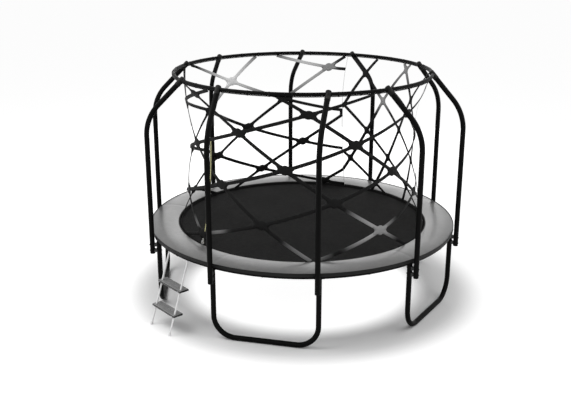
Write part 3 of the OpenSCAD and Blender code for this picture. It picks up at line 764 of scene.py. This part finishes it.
def ribbon(name, path, sides, outs, width, thick, material=None, closed=False):
    """A flat band with rounded edges along a path; its UV map runs in metres along and across it"""
    lower = [(-0.5, -0.25), (-0.46, -0.5), (0.46, -0.5), (0.5, -0.25)]
    section = lower + [(-a, -b) for a, b in lower]
    n, count = len(section), len(path)
    points = [p + side * (a * width) + out * (b * thick)
              for p, side, out in zip(path, sides, outs) for a, b in section]
    run = [0.0]
    for k in range(count if closed else count - 1):
        run.append(run[-1] + (path[(k + 1) % count] - path[k]).length)
    spots = [(run[u], section[v % n][0] * width) for k in range(len(run) - 1) for i in range(n)
             for u, v in ((k, i), (k, i + 1), (k + 1, i + 1), (k + 1, i))]
    if not closed:
        spots += [(0.0, 0.0)] * (2 * n)
    return welded(mapped(piece(name, points, band_faces(count, n, closed), material), spots))


def wound(spots):
    """A ribbon's path, sides and outward directions in the XZ plane, from spots that are each the
    height of a tube's middle, a radius round it and an angle"""
    outs = [Vector((math.cos(turn), 0, math.sin(turn))) for middle, r, turn in spots]
    path = [Vector((0, 0, middle)) + out * r for out, (middle, r, turn) in zip(outs, spots)]
    return path, [Vector((0, 1, 0))] * len(path), outs


strap_w, strap_t = 0.020, 0.0018
strap_gap = 0.0014       # from the rail to the middle of the strap's thickness
strap_azimuths = [leg_start + leg_turn / 2 * rail for rail in range(10)]
strap_steps = 28
strap_path = wound([(0, tube_r + strap_gap, math.tau * k / strap_steps) for k in range(strap_steps)])
strap = ribbon("strap", *strap_path, strap_w, strap_t, closed=True)
straps = repeated("pad_elastic_straps", strap, around(strap_azimuths, frame_r, middle_h("pad_straps")),
                  strap_azimuths, webbing)
fitted(straps, "trampoline", "webbing", "pad_straps")

# ---- net ----
# A wide-meshed net of flat knitted strands hangs inside the poles: from the top ring in to its
# waist and out again to the mat. Its strands run down and up between knots on a slanted lattice,
# coarse on four fifths of the net and fine on the rest, and two seams join the lengths.
RING_R = 1.495
waist_r, waist_h = 1.325, 2.060
net_foot_r, net_foot_h = 1.473, 0.8783
net_head_h = 2.6441
low_arc, top_arc = ((rise ** 2 + bulge ** 2) / (2 * bulge) for rise, bulge in (
    (waist_h - net_foot_h, net_foot_r - waist_r), (net_head_h - waist_h, RING_R - waist_r)))
# The two lengths of netting: a knot, the steps down and up to the next ones, and the span, all as
# azimuth and height, and the size of the strands and knots
COARSE = {"start": (321.5, 2.444), "down": (22.5, -0.362), "up": (32.8, 0.245),
          "span": (115.4, 403.4), "size": 1.0}
FINE = {"start": (448.3, 2.155), "down": (11.2, -0.425), "up": (15.0, 0.305),
        "span": (403.4, 475.4), "size": 0.68}
lattice_low, lattice_high, lattice_steps = 0.43, 3.1, range(-22, 23)
zip_azimuth, zip_half_w, zip_top_h = 270, 0.0226, 2.047
give_h = 1.5             # the upper of the two heights in net_give
strand_w, strand_t = 0.042, 0.008
knot_arm, knot_core = 0.130, 0.055
seam_margin = 3.0        # degrees that knots keep from a seam
slack_from, slack_width = COARSE["span"][0], 88.0
slack_turn, slack_drop = 4.3, 0.095
# A short upright strand beside the back seam
upright, upright_size = [(slack_from + 0.6, z) for z in (1.88, 1.93, 1.98)], 0.8


def net_radius(height):
    """Radius of the net's middle surface: a long arc below its waist and a short one above"""
    arc = low_arc if height < waist_h else top_arc
    return waist_r + arc - math.sqrt(max(arc ** 2 - (height - waist_h) ** 2, 0))


def net_point(place):
    """The net's point at [azimuth, height]"""
    return round_axis(place[0], net_radius(place[1]), place[1])


def net_out(place):
    """The net's outward direction there"""
    azimuth, height = place
    slope = (net_radius(height + 0.002) - net_radius(height - 0.002)) / 0.004
    return (across(azimuth, 1) - Vector((0, 0, slope))).normalized()


def on_net(place, span):
    """True where there is netting: between the seams, off the zip, between hem and top cord"""
    azimuth, height = place
    beside_zip = abs(azimuth - zip_azimuth) > math.degrees(zip_half_w / net_radius(height))
    beside_zip = beside_zip or height > zip_top_h
    return span[0] < azimuth < span[1] and net_foot_h < height < net_head_h and beside_zip


def slack(place):
    """Where a lattice place really hangs: the coarse net sags beside the back seam"""
    x = min(max((place[0] - slack_from) / slack_width, 0), 1)
    bump = math.sin(math.pi * x ** 0.75)
    return place[0] + slack_turn * bump, place[1] - slack_drop * bump


def along_strand(start, step, x):
    """Where a strand hangs after x of a step from its start"""
    return slack((start[0] + step[0] * x, start[1] + step[1] * x))


def strand_runs(start, step, span):
    """The stretches of one strand that lie on the net, each a list of its places"""
    samples = 14
    places = [along_strand(start, step, x / samples) for x in range(samples + 1)]
    runs, run = [], []
    for here, there in zip(places, places[1:] + [None]):
        inside = on_net(here, span)
        if inside:
            run.append(here)
        if there is None or on_net(there, span) == inside:
            continue
        inner, outer = (here, there) if inside else (there, here)
        for halving in range(12):
            middle = ((inner[0] + outer[0]) / 2, (inner[1] + outer[1]) / 2)
            inner, outer = (middle, outer) if on_net(middle, span) else (inner, middle)
        run.append(inner)
        if inside:
            runs.append(run)
            run = []
    return [r for r in runs + [run] if len(r) > 1]


def lattice(net):
    """The lattice places of a net length, with some outside it"""
    reach = net["up"][0] + 4
    for i in lattice_steps:
        for j in lattice_steps:
            p = tuple(net["start"][x] + net["down"][x] * i + net["up"][x] * j for x in (0, 1))
            near = net["span"][0] - reach < p[0] < net["span"][1] + reach
            if near and lattice_low < p[1] < lattice_high:
                yield p


# Spots where the net's knots and strands are painted pale grey, a painted sheen for the light they catch:
# azimuth, height, how far it reaches, how pale
PAINTED_SHEEN_SPOTS = [(351.0, 1.121, 0.38, 0.5), (321.0, 0.94, 0.30, 0.27), (279.0, 1.04, 0.16, 0.22),
            (263.3, 1.08, 0.12, 0.16), (181.0, 2.422, 0.55, 1.0), (77.6, 2.567, 0.3, 0.3),
            (88.3, 2.155, 0.2, 0.34), (138.0, 2.50, 0.45, 0.7)]


def painted_sheen_at(place):
    """How strong the painted sheen is at a place, from 0 to 1"""
    near = [1 - (net_point(place) - net_point(spot[:2])).length / spot[2] for spot in PAINTED_SHEEN_SPOTS]
    return max(spot[3] * max(x, 0) ** 0.7 for spot, x in zip(PAINTED_SHEEN_SPOTS, near))


def direction(tree, name):
    """A vector that is kept at each seed point"""
    return field(tree, name, "FLOAT_VECTOR")


def strands_tree():
    """Flat strands along the seed's edges, laid on the net's surface"""
    tree, sizes = shape_tree("net strands", {"Width": 0.027, "Thickness": 0.005})
    path = geo(tree, "MeshToCurve", {0: sizes["Geometry"]})
    laid = geo(tree, "SetCurveNormal", {0: path, "Normal": direction(tree, "out")}, mode="FREE")
    laid = geo(tree, "SetCurveRadius", {0: laid, "Radius": field(tree, "size")})
    ring = geo(tree, "CurvePrimitiveCircle", {"Resolution": 10, "Radius": 0.5})
    flat = vector(tree, sizes["Thickness"], sizes["Width"], 1.0)
    section = geo(tree, "Transform", {0: ring, "Scale": flat})
    strands = geo(tree, "CurveToMesh", {0: laid, 1: section, "Fill Caps": True})
    return end_tree(tree, sizes, strands)


def knots_tree():
    """Star-shaped knots at the seed points, sheared on to the four strands that meet there, each
    with a round core where the strands are knitted into one another"""
    tree, sizes = shape_tree("net knots", {"Arm": 0.125, "Core": 0.046, "Thickness": 0.020}, shape="Star")
    kept = geo(tree, "StoreNamedAttribute", {
        0: object_shape(tree, sizes, "Star"), "Name": "own", "Value": geo(tree, "InputPosition")},
        data_type="FLOAT_VECTOR")
    plain = geo(tree, "RealizeInstances", {0: at_seeds(tree, sizes, kept)})
    parts = add(tree, "ShaderNodeSeparateXYZ", {0: direction(tree, "own")}).outputs
    size = field(tree, "size")
    arm = times(tree, sizes["Arm"], size)
    reach = [times(tree, parts[x], arm) for x in (0, 1)]
    bow = [times(tree, r, r, field(tree, label)) for r, label in zip(reach, ("bow_down", "bow_up"))]
    lift = maths(tree, "SUBTRACT", times(tree, parts[2], sizes["Thickness"]), maths(tree, "ADD", *bow))
    place = direction(tree, "middle")
    for amount, way in zip((*reach, lift), ("down", "up", "out")):
        step = shade(tree, "VectorMath", {0: direction(tree, way), "Scale": amount}, operation="SCALE")
        place = shade(tree, "VectorMath", {0: place, 1: step}, operation="ADD")
    laid = geo(tree, "SetPosition", {0: plain, "Position": place})
    ball = geo(tree, "MeshUVSphere", {"Segments": 16, "Rings": 6, "Radius": 1.0})
    flat = vector(tree, sizes["Core"], sizes["Core"], times(tree, sizes["Thickness"], 0.6))
    button = geo(tree, "Transform", {0: ball, "Scale": flat})
    facing = add(tree, "FunctionNodeAxesToRotation", {0: direction(tree, "out"), 1: direction(tree, "down")})
    cores = at_seeds(tree, sizes, button, Rotation=facing.outputs[0], Scale=vector(tree, size, size, 1.0))
    return end_tree(tree, sizes, joined(tree, laid, cores))


def star():
    """A knot in its own units: arms of length 1 along X and Y with webs between, 1 thick"""
    steps, rings = 32, (0.35, 0.7, 1.0)
    web = 0.50
    rows = []
    for s in range(steps):
        off_arm = abs((8 * s / steps + 1) % 2 - 1)
        edge = web + (1 - web) * (1 - off_arm) ** 2.0
        a = math.tau * s / steps
        rows.append([(edge * x * math.cos(a), edge * x * math.sin(a),
                      0.5 * math.sqrt(1.02 - x * x) + 0.02 * (1 - x)) for x in rings])
    points = [(0, 0, 0.5), (0, 0, -0.5)] + [p for row in rows for p in row]
    points += [(x, y, -z) for row in rows for x, y, z in row[:-1]]
    faces = []
    for s in range(steps):
        t = (s + 1) % steps
        up, up_next = 2 + 3 * s, 2 + 3 * t
        low, low_next = 2 + 3 * steps + 2 * s, 2 + 3 * steps + 2 * t
        faces += [(0, up, up_next), (up, up + 1, up_next + 1, up_next),
                  (up + 1, up + 2, up_next + 2, up_next + 1), (1, low_next, low),
                  (low, low_next, low_next + 1, low + 1), (low + 1, low_next + 1, up_next + 2, up + 2)]
    return piece("star", points, faces)


def net_cloth():
    """Black knitted strand, painted pale grey in places as a painted sheen where it catches the light"""
    material, tree, shader = new_material("net_mesh", Specular_IOR_Level=0.12)
    knit = shade(tree, "TexVoronoi", {"Vector": object_place(tree), "Scale": 380.0}, get="Distance")
    patches = coat_of(tree, 14.0)["Patches"]
    # painted sheen: this mask mixes pale grey into the strand's black
    painted_sheen = shade(tree, "Attribute", attribute_name="painted_sheen", get="Fac")
    coloured(tree, shader, patches, tone(13), tone(21), painted_sheen, tone(235))
    roughened(tree, shader, patches, (0.6, 0.75))
    bumped(tree, shader, knit, 0.0008)
    return material


def heading(place, step):
    """Direction of a strand at a place, and how much the net bows under it"""
    near = [net_point(along_strand(place, step, x)) for x in (-0.05, 0, 0.05)]
    length = (near[2] - near[0]).length / 2
    bow = -(near[0] + near[2] - 2 * near[1]).dot(net_out(slack(place))) / (2 * length ** 2)
    return (near[2] - near[0]).normalized(), bow


def net_lengths():
    """Seeds of the strands, with their size, and of the knots on both lengths of net"""
    runs, knots = [(upright, upright_size)], []
    for net in (COARSE, FINE):
        clear = (net["span"][0] + seam_margin, net["span"][1] - seam_margin)
        for p in lattice(net):
            for step in (net["down"], net["up"]):
                runs += [(run, net["size"]) for run in strand_runs(p, step, net["span"])]
            if on_net(slack(p), clear):
                knots.append((slack(p), heading(p, net["down"]), heading(p, net["up"]), net["size"]))
    return runs, knots


net_mesh = net_cloth()
runs, knots = net_lengths()
strand_places = [place for run, size in runs for place in run]
edges = []
for run, size in runs:
    first = edges[-1][1] + 1 if edges else 0
    edges += [(first + k, first + k + 1) for k in range(len(run) - 1)]
strands = grown("net_strands", strands_tree(), net_mesh, [net_point(p) for p in strand_places], edges, {
    "out": [net_out(p) for p in strand_places], "painted_sheen": [painted_sheen_at(p) for p in strand_places],
    "size": [size for run, size in runs for place in run]}, Width=strand_w, Thickness=strand_t)
star_shape = star()
middles, down_arms, up_arms, knot_sizes = zip(*knots)
knot_places = [net_point(p) for p in middles]
knot_stars = grown("net_knots", knots_tree(), net_mesh, knot_places, fields={
    "middle": knot_places, "out": [net_out(p) for p in middles],
    "down": [arm[0] for arm in down_arms], "up": [arm[0] for arm in up_arms],
    "bow_down": [arm[1] for arm in down_arms], "bow_up": [arm[1] for arm in up_arms],
    "painted_sheen": [painted_sheen_at(p) for p in middles], "size": knot_sizes}, Star=star_shape, Arm=knot_arm, Core=knot_core)
bpy.data.objects.remove(star_shape)
net_give = (Vector((0, AXIS_Y, give_h)), Vector((0, AXIS_Y, net_foot_h)))
for part in (strands, knot_stars):
    stretched(part, *net_give, "net_mesh", *[f"net_panels_{k}" for k in range(1, 6)])

# ---- net's hem, cord, ties and seams ----
# Below, the strands are sewn into a hem of webbing that stands on the mat. Above, they hang on a
# laid cord, which thirty woven ties hold to the top ring. A tape is sewn over each seam.
hem_low, hem_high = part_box("net_hem")
ring_low, ring_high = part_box("ring_tube_1")
CORD_H = middle_h("net_top_cord")
RING_H = middle_h("ring_tube_1")
ring_tube_r = (ring_high.z - ring_low.z) / 2
cord_r, cord_lay = 0.0043, 0.0007        # the cord's mean radius, and how far its strands stand out
cord_twists = 360        # whole twists that a strand of the cord makes round the ring
tie_w, tie_t = 0.012, 0.0014
tie_gap = 0.0012         # from what a tie goes round to the middle of its thickness


def hem_section(azimuth):
    """Folded webbing that the strands pull up a little where they are sewn in"""
    pull = 0.0009 * math.sin(math.radians(azimuth * 64))
    r, low, high = net_foot_r, hem_low.z, hem_high.z + pull
    right = [(0.0019, low), (0.0023, low + 0.003), (0.0014, high - 0.004), (0.0018, high - 0.0015),
             (0.0008, high)]
    return [(r - right[0][0], low)] + [(r + x, z) for x, z in right] + [(r - x, z) for x, z in right[:0:-1]]


fitted(hoop("net_hem_band", hem_section, 480, webbing), "mat", "webbing", "net_hem")


def cord_section(azimuth):
    """Three strands laid round each other"""
    points = []
    steps = 15
    for k in range(steps):
        turn = math.tau * k / steps
        r = cord_r + cord_lay * math.cos(3 * turn - math.radians(azimuth * cord_twists))
        points.append((RING_R + r * math.cos(turn), CORD_H + r * math.sin(turn)))
    return points


rope = cloth("rope", tone(4), tone(7), 900.0, 0.8, dusty=0.0, Specular_IOR_Level=0.02)
fitted(hoop("net_top_rope", cord_section, 2160, rope), "trampoline", "webbing", "net_top_cord")


def tie_path(tube, cord, drop):
    """A loop round the ring's tube and the cord under it"""
    lean = math.asin((tube - cord) / drop)
    spots = [(0, tube, -lean + (math.pi + 2 * lean) * k / 14) for k in range(15)]
    spots += [(-drop, cord, math.pi + lean + (math.pi - 2 * lean) * k / 6) for k in range(7)]
    return wound(spots)


tie_azimuths = [a for a in range(9, 361, 9) if a % 36]        # none where a cap holds the ring
tie_loop = tie_path(ring_tube_r + tie_gap, cord_r + cord_lay + tie_gap, RING_H - CORD_H)
ties = repeated("net_tie_loops", ribbon("tie", *tie_loop, tie_w, tie_t, closed=True),
                around(tie_azimuths, RING_R, RING_H), tie_azimuths, webbing)
fitted(ties, "trampoline", "webbing", "net_ties")


def up_the_net(azimuth, low, high, aside=0.0):
    """Points up the net at one azimuth, their sideways directions and their outward directions"""
    steps = 60
    places = [(azimuth, low + (high - low) * k / steps) for k in range(steps + 1)]
    side = across(azimuth + 90, 1)
    return [net_point(p) + side * aside for p in places], [side] * len(places), [net_out(p) for p in places]


seam_w, seam_t = 0.006, 0.0024
seam_tape = cloth("seam_tape", tone(206), tone(222), 900.0, 0.7)
for name, azimuth in (("net_seam_front", FINE["span"][0] - 360), ("net_seam_back", FINE["span"][1] - 360)):
    seam = ribbon(name, *up_the_net(azimuth, net_foot_h, net_head_h), seam_w, seam_t, seam_tape)
    stretched(seam, *net_give, "net_mesh", "net_seams")

# ---- zip ----
# The door in the net: two dark woven tapes with a pale coil between them, a cast slider near
# the mat, and its pull with a loop of grey tape that hangs down to the pad's inner edge.
zip_low_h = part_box("zip_tapes")[0].z
chain_half_w = 0.0043
tape_w, tape_t = 0.018, 0.0016
tooth_pitch, tooth_aside, chain_margin = 0.003, 0.0014, 0.002
zip_cloth = cloth("zip_cloth", tone(24, 23, 12), tone(40, 38, 18), 900.0, 0.7, Specular_IOR_Level=0.25)
for name, side in (("zip_tape_left", -1), ("zip_tape_right", 1)):
    aside = side * (chain_half_w + tape_w / 2)
    tape = ribbon(name, *up_the_net(zip_azimuth, zip_low_h, zip_top_h, aside), tape_w, tape_t, zip_cloth)
    stretched(tape, *net_give, "zip_tape", "zip_tapes")


def coil_tree():
    """Teeth of a zip at the seed points, each across the zip from its own side to past the middle"""
    tree, sizes = shape_tree("zip teeth", {"Width": 0.0095, "Height": 0.0032, "Thickness": 0.0030})
    size = vector(tree, sizes["Width"], sizes["Thickness"], sizes["Height"])
    block = geo(tree, "MeshCube", {0: size})
    rounded = geo(tree, "SubdivisionSurface", {0: block, "Level": 1, "Edge Crease": 0.6})
    facing = add(tree, "FunctionNodeAxesToRotation", {0: direction(tree, "out"), 1: (1, 0, 0)},
                 primary_axis="Y", secondary_axis="X")
    return end_tree(tree, sizes, at_seeds(tree, sizes, rounded, Rotation=facing.outputs[0]))


zip_coil = coated("zip_coil", tone(240, 236, 168), tone(250, 246, 190), (0.35, 0.45), patch=40.0, dusty=0.0)
teeth_count = round((zip_top_h - zip_low_h) / tooth_pitch)
teeth, tooth_outs = [], []
chain_h = zip_top_h - zip_low_h - 2 * chain_margin
for k in range(teeth_count):
    place = (zip_azimuth, zip_low_h + chain_margin + chain_h * k / teeth_count)
    teeth.append(net_point(place) + Vector(((1 if k % 2 else -1) * tooth_aside, 0, 0)))
    tooth_outs.append(net_out(place))
coil = grown("zip_teeth", coil_tree(), zip_coil, teeth, fields={"out": tooth_outs})
stretched(coil, *net_give, "zip_tape", "zip_tapes")

zip_metal = zinc_finish("zip_metal", tone(196, 196, 190), tone(216, 216, 212), (0.35, 0.5))
finish_nodes(["zip_slider", "zip_pull"], zip_metal)
pull_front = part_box("zip_pull")[0].y
loop_half_w, loop_h, loop_top, loop_steps = 0.018, 0.036, 0.914, 28
loop_w, loop_t = 0.013, 0.0022
loop_behind, loop_lean = 0.0035, 0.14       # behind the pull's front at its top, and how far it leans out


def pull_loop():
    """A loop of grey tape through the pull's end, that hangs in front of it down to the pad"""
    path, sides = [], []
    for k in range(loop_steps):
        turn = math.tau * k / loop_steps
        drop = loop_h * (1 - math.cos(turn)) / 2
        forward = pull_front + loop_behind - loop_lean * drop
        path.append(Vector((loop_half_w * math.sin(turn), forward, loop_top - drop)))
        sides.append(Vector((-loop_h / 2 * math.sin(turn), 0, -loop_half_w * math.cos(turn))).normalized())
    outs = [Vector((0, -1, 0))] * loop_steps
    return ribbon("zip_pull_loop", path, sides, outs, loop_w, loop_t, loop_tape, closed=True)


loop_tape = cloth("loop_tape", tone(170), tone(196), 700.0, 0.6)
fitted(pull_loop(), "zip_pull", "zip_tape")

# ---- ladder ----
# Two bent steel rails, powder-coated white, hook over the frame ring. Two moulded treads are
# screwed on to them, ribbed and glossy, and rubber sleeves stand on the ground.
ladder_tube = coated("ladder_tube", tone(228), tone(240), (0.3, 0.4), dusty=0.1)


def tread_with_painted_lit_top():
    """Black moulded plastic whose faces that look up are painted grey, as painted light on the top"""
    material = coated("tread_plastic", tone(14), tone(20), (0.2, 0.3), depth=0.00004, patch=14.0, dusty=0.05)
    tree = material.node_tree
    base = tree.nodes["Principled BSDF"].inputs["Base Color"]
    # painted light: faces that look up are painted grey for the light that falls on the tread's top
    top = shade(tree, "MapRange", {0: facing_up(tree), 1: 0.6, 2: 0.8})
    tree.links.new(mixed(tree, top, base.links[0].from_socket, tone(146)), base)
    return material


tread_plastic = tread_with_painted_lit_top()
foot_rubber = coated("foot_rubber", tone(232), tone(242), (0.7, 0.85), grain=1200.0, depth=0.0003)
finish_nodes(["ladder_rail_left", "ladder_rail_right"], ladder_tube)
finish_nodes(["ladder_feet"], foot_rubber)
finish_nodes(["ladder_screws"], zinc_steel)


def tread(name, low, high, material):
    """A moulded step from corner to corner: rounded nose and ends, ribs along its top"""
    ribs, rib_h, margin = 9, 0.0012, 0.012
    pitch = (high.y - low.y - 2 * margin) / ribs
    face_h = high.z - rib_h
    top = []
    for k in range(ribs):
        y = low.y + margin + pitch * (k + 0.5)
        top += [(y - pitch * 0.275, face_h), (y - pitch * 0.175, high.z), (y + pitch * 0.175, high.z),
                (y + pitch * 0.275, face_h)]
    nose = [(low.y + 0.010, face_h), (low.y + 0.004, face_h - 0.002), (low.y, high.z - 0.009),
            (low.y, low.z + 0.003), (low.y + 0.003, low.z)]
    heel = [(high.y - 0.003, low.z), (high.y, low.z + 0.003), (high.y, high.z - 0.007),
            (high.y - 0.003, face_h - 0.001), (high.y - 0.010, face_h)]
    outline = top[::-1] + nose + heel
    middle_y, middle_z, length = (low.y + high.y) / 2, (low.z + high.z) / 2, high.x - low.x
    ends = [(0, 0.9, 0.75), (0.0012, 0.97, 0.9), (0.004, 1, 1)]
    rows = ends + [(length / 2, 1, 1)] + [(length - x, in_y, in_z) for x, in_y, in_z in ends[::-1]]
    points = [(low.x + x, middle_y + (y - middle_y) * in_y, middle_z + (z - middle_z) * in_z)
              for x, in_y, in_z in rows for y, z in outline]
    faces = band_faces(len(rows), len(outline), closed=False)
    return welded(piece(name, points, faces, material, smooth=False))


for which in ("upper", "lower"):
    node = f"ladder_tread_{which}"
    fitted(tread(f"tread_{which}", *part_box(node), tread_plastic), "ladder", "tread_plastic", node)

# ---- floor and lights ----
# A plain white floor and white surroundings, under three broad soft lamps. The floor has painted light that
# only the eye sees:
# it glows under the trampoline's middle, over the real shadow there, and away from the trampoline, so that
# its shadow is a soft ring.
pure_white = (1, 1, 1, 1)
# painted light on the floor: the glow under the trampoline's middle lightens its real shadow
middle_glow, middle_from, middle_to = 0.88, 1.2, 1.62        # fades out between the two radii
outside_glow, outside_from, outside_to = 0.42, 1.85, 2.3     # fades in between them
sky_light = 0.6          # how bright the surroundings shine on things, where the eye sees 1


def by_eye(tree):
    """1 for what the camera sees, also in a mirror or through glass, and 0 for light that bounces"""
    seen = add(tree, "ShaderNodeLightPath").outputs
    seen_or_mirrored = maths(tree, "MAXIMUM", seen["Is Camera Ray"], seen["Is Glossy Ray"])
    return maths(tree, "MAXIMUM", seen_or_mirrored, seen["Is Transmission Ray"])


def emptied(data):
    """The empty node tree of a material or world"""
    data.use_nodes = True
    data.node_tree.nodes.clear()
    return data.node_tree


def faded(tree, value, start, end, first, last):
    """first up to the start and last from the end, with a smooth change between"""
    inputs = {0: value, 1: start, 2: end, 3: first, 4: last}
    return shade(tree, "MapRange", inputs, interpolation_type="SMOOTHSTEP")


def lamp(name, azimuth, distance, height, size, power):
    """A square soft lamp that looks at the middle of the trampoline"""
    light = bpy.data.lights.new(name, "AREA")
    light.size = size
    light.energy = power
    obj = placed(name, light)
    aimed(obj, round_axis(azimuth, distance, height), round_axis(0, 0, MAT_H))
    obj.visible_camera = False


floor = placed("floor", bpy.data.meshes.new("floor"))
shape = bmesh.new()
bmesh.ops.create_circle(shape, cap_ends=True, segments=96, radius=60)
shape.to_mesh(floor.data)
shape.free()
floor_white = bpy.data.materials.new("floor_white")
tree = emptied(floor_white)
centred = shade(tree, "VectorMath", {0: object_place(tree), 1: (0, -AXIS_Y, 0)}, operation="ADD")
away = shade(tree, "VectorMath", {0: centred}, operation="LENGTH", get="Value")
glow = maths(tree, "ADD", faded(tree, away, middle_from, middle_to, middle_glow, 0.0),
             faded(tree, away, outside_from, outside_to, 0.0, outside_glow))
own = shade(tree, "Emission", {"Color": pure_white, "Strength": times(tree, by_eye(tree), glow)})
lit = shade(tree, "BsdfDiffuse", {"Color": tone(246)})
add(tree, "ShaderNodeOutputMaterial", {0: shade(tree, "AddShader", {0: lit, 1: own})})
floor.data.materials.append(floor_white)

world = bpy.data.worlds.new("surroundings")
bpy.context.scene.world = world
tree = emptied(world)
sky = shade(tree, "Background", {"Color": pure_white, "Strength": spread(tree, by_eye(tree), sky_light, 1.0)})
add(tree, "ShaderNodeOutputWorld", {0: sky})

lamp("lamp_left", -110, 5, 6.5, 5, 210)
lamp("lamp_right", 20, 5.5, 5.5, 5, 90)
lamp("lamp_back", 138, 8, 3.0, 7, 135)
bpy.context.scene.view_settings.view_transform = "Standard"
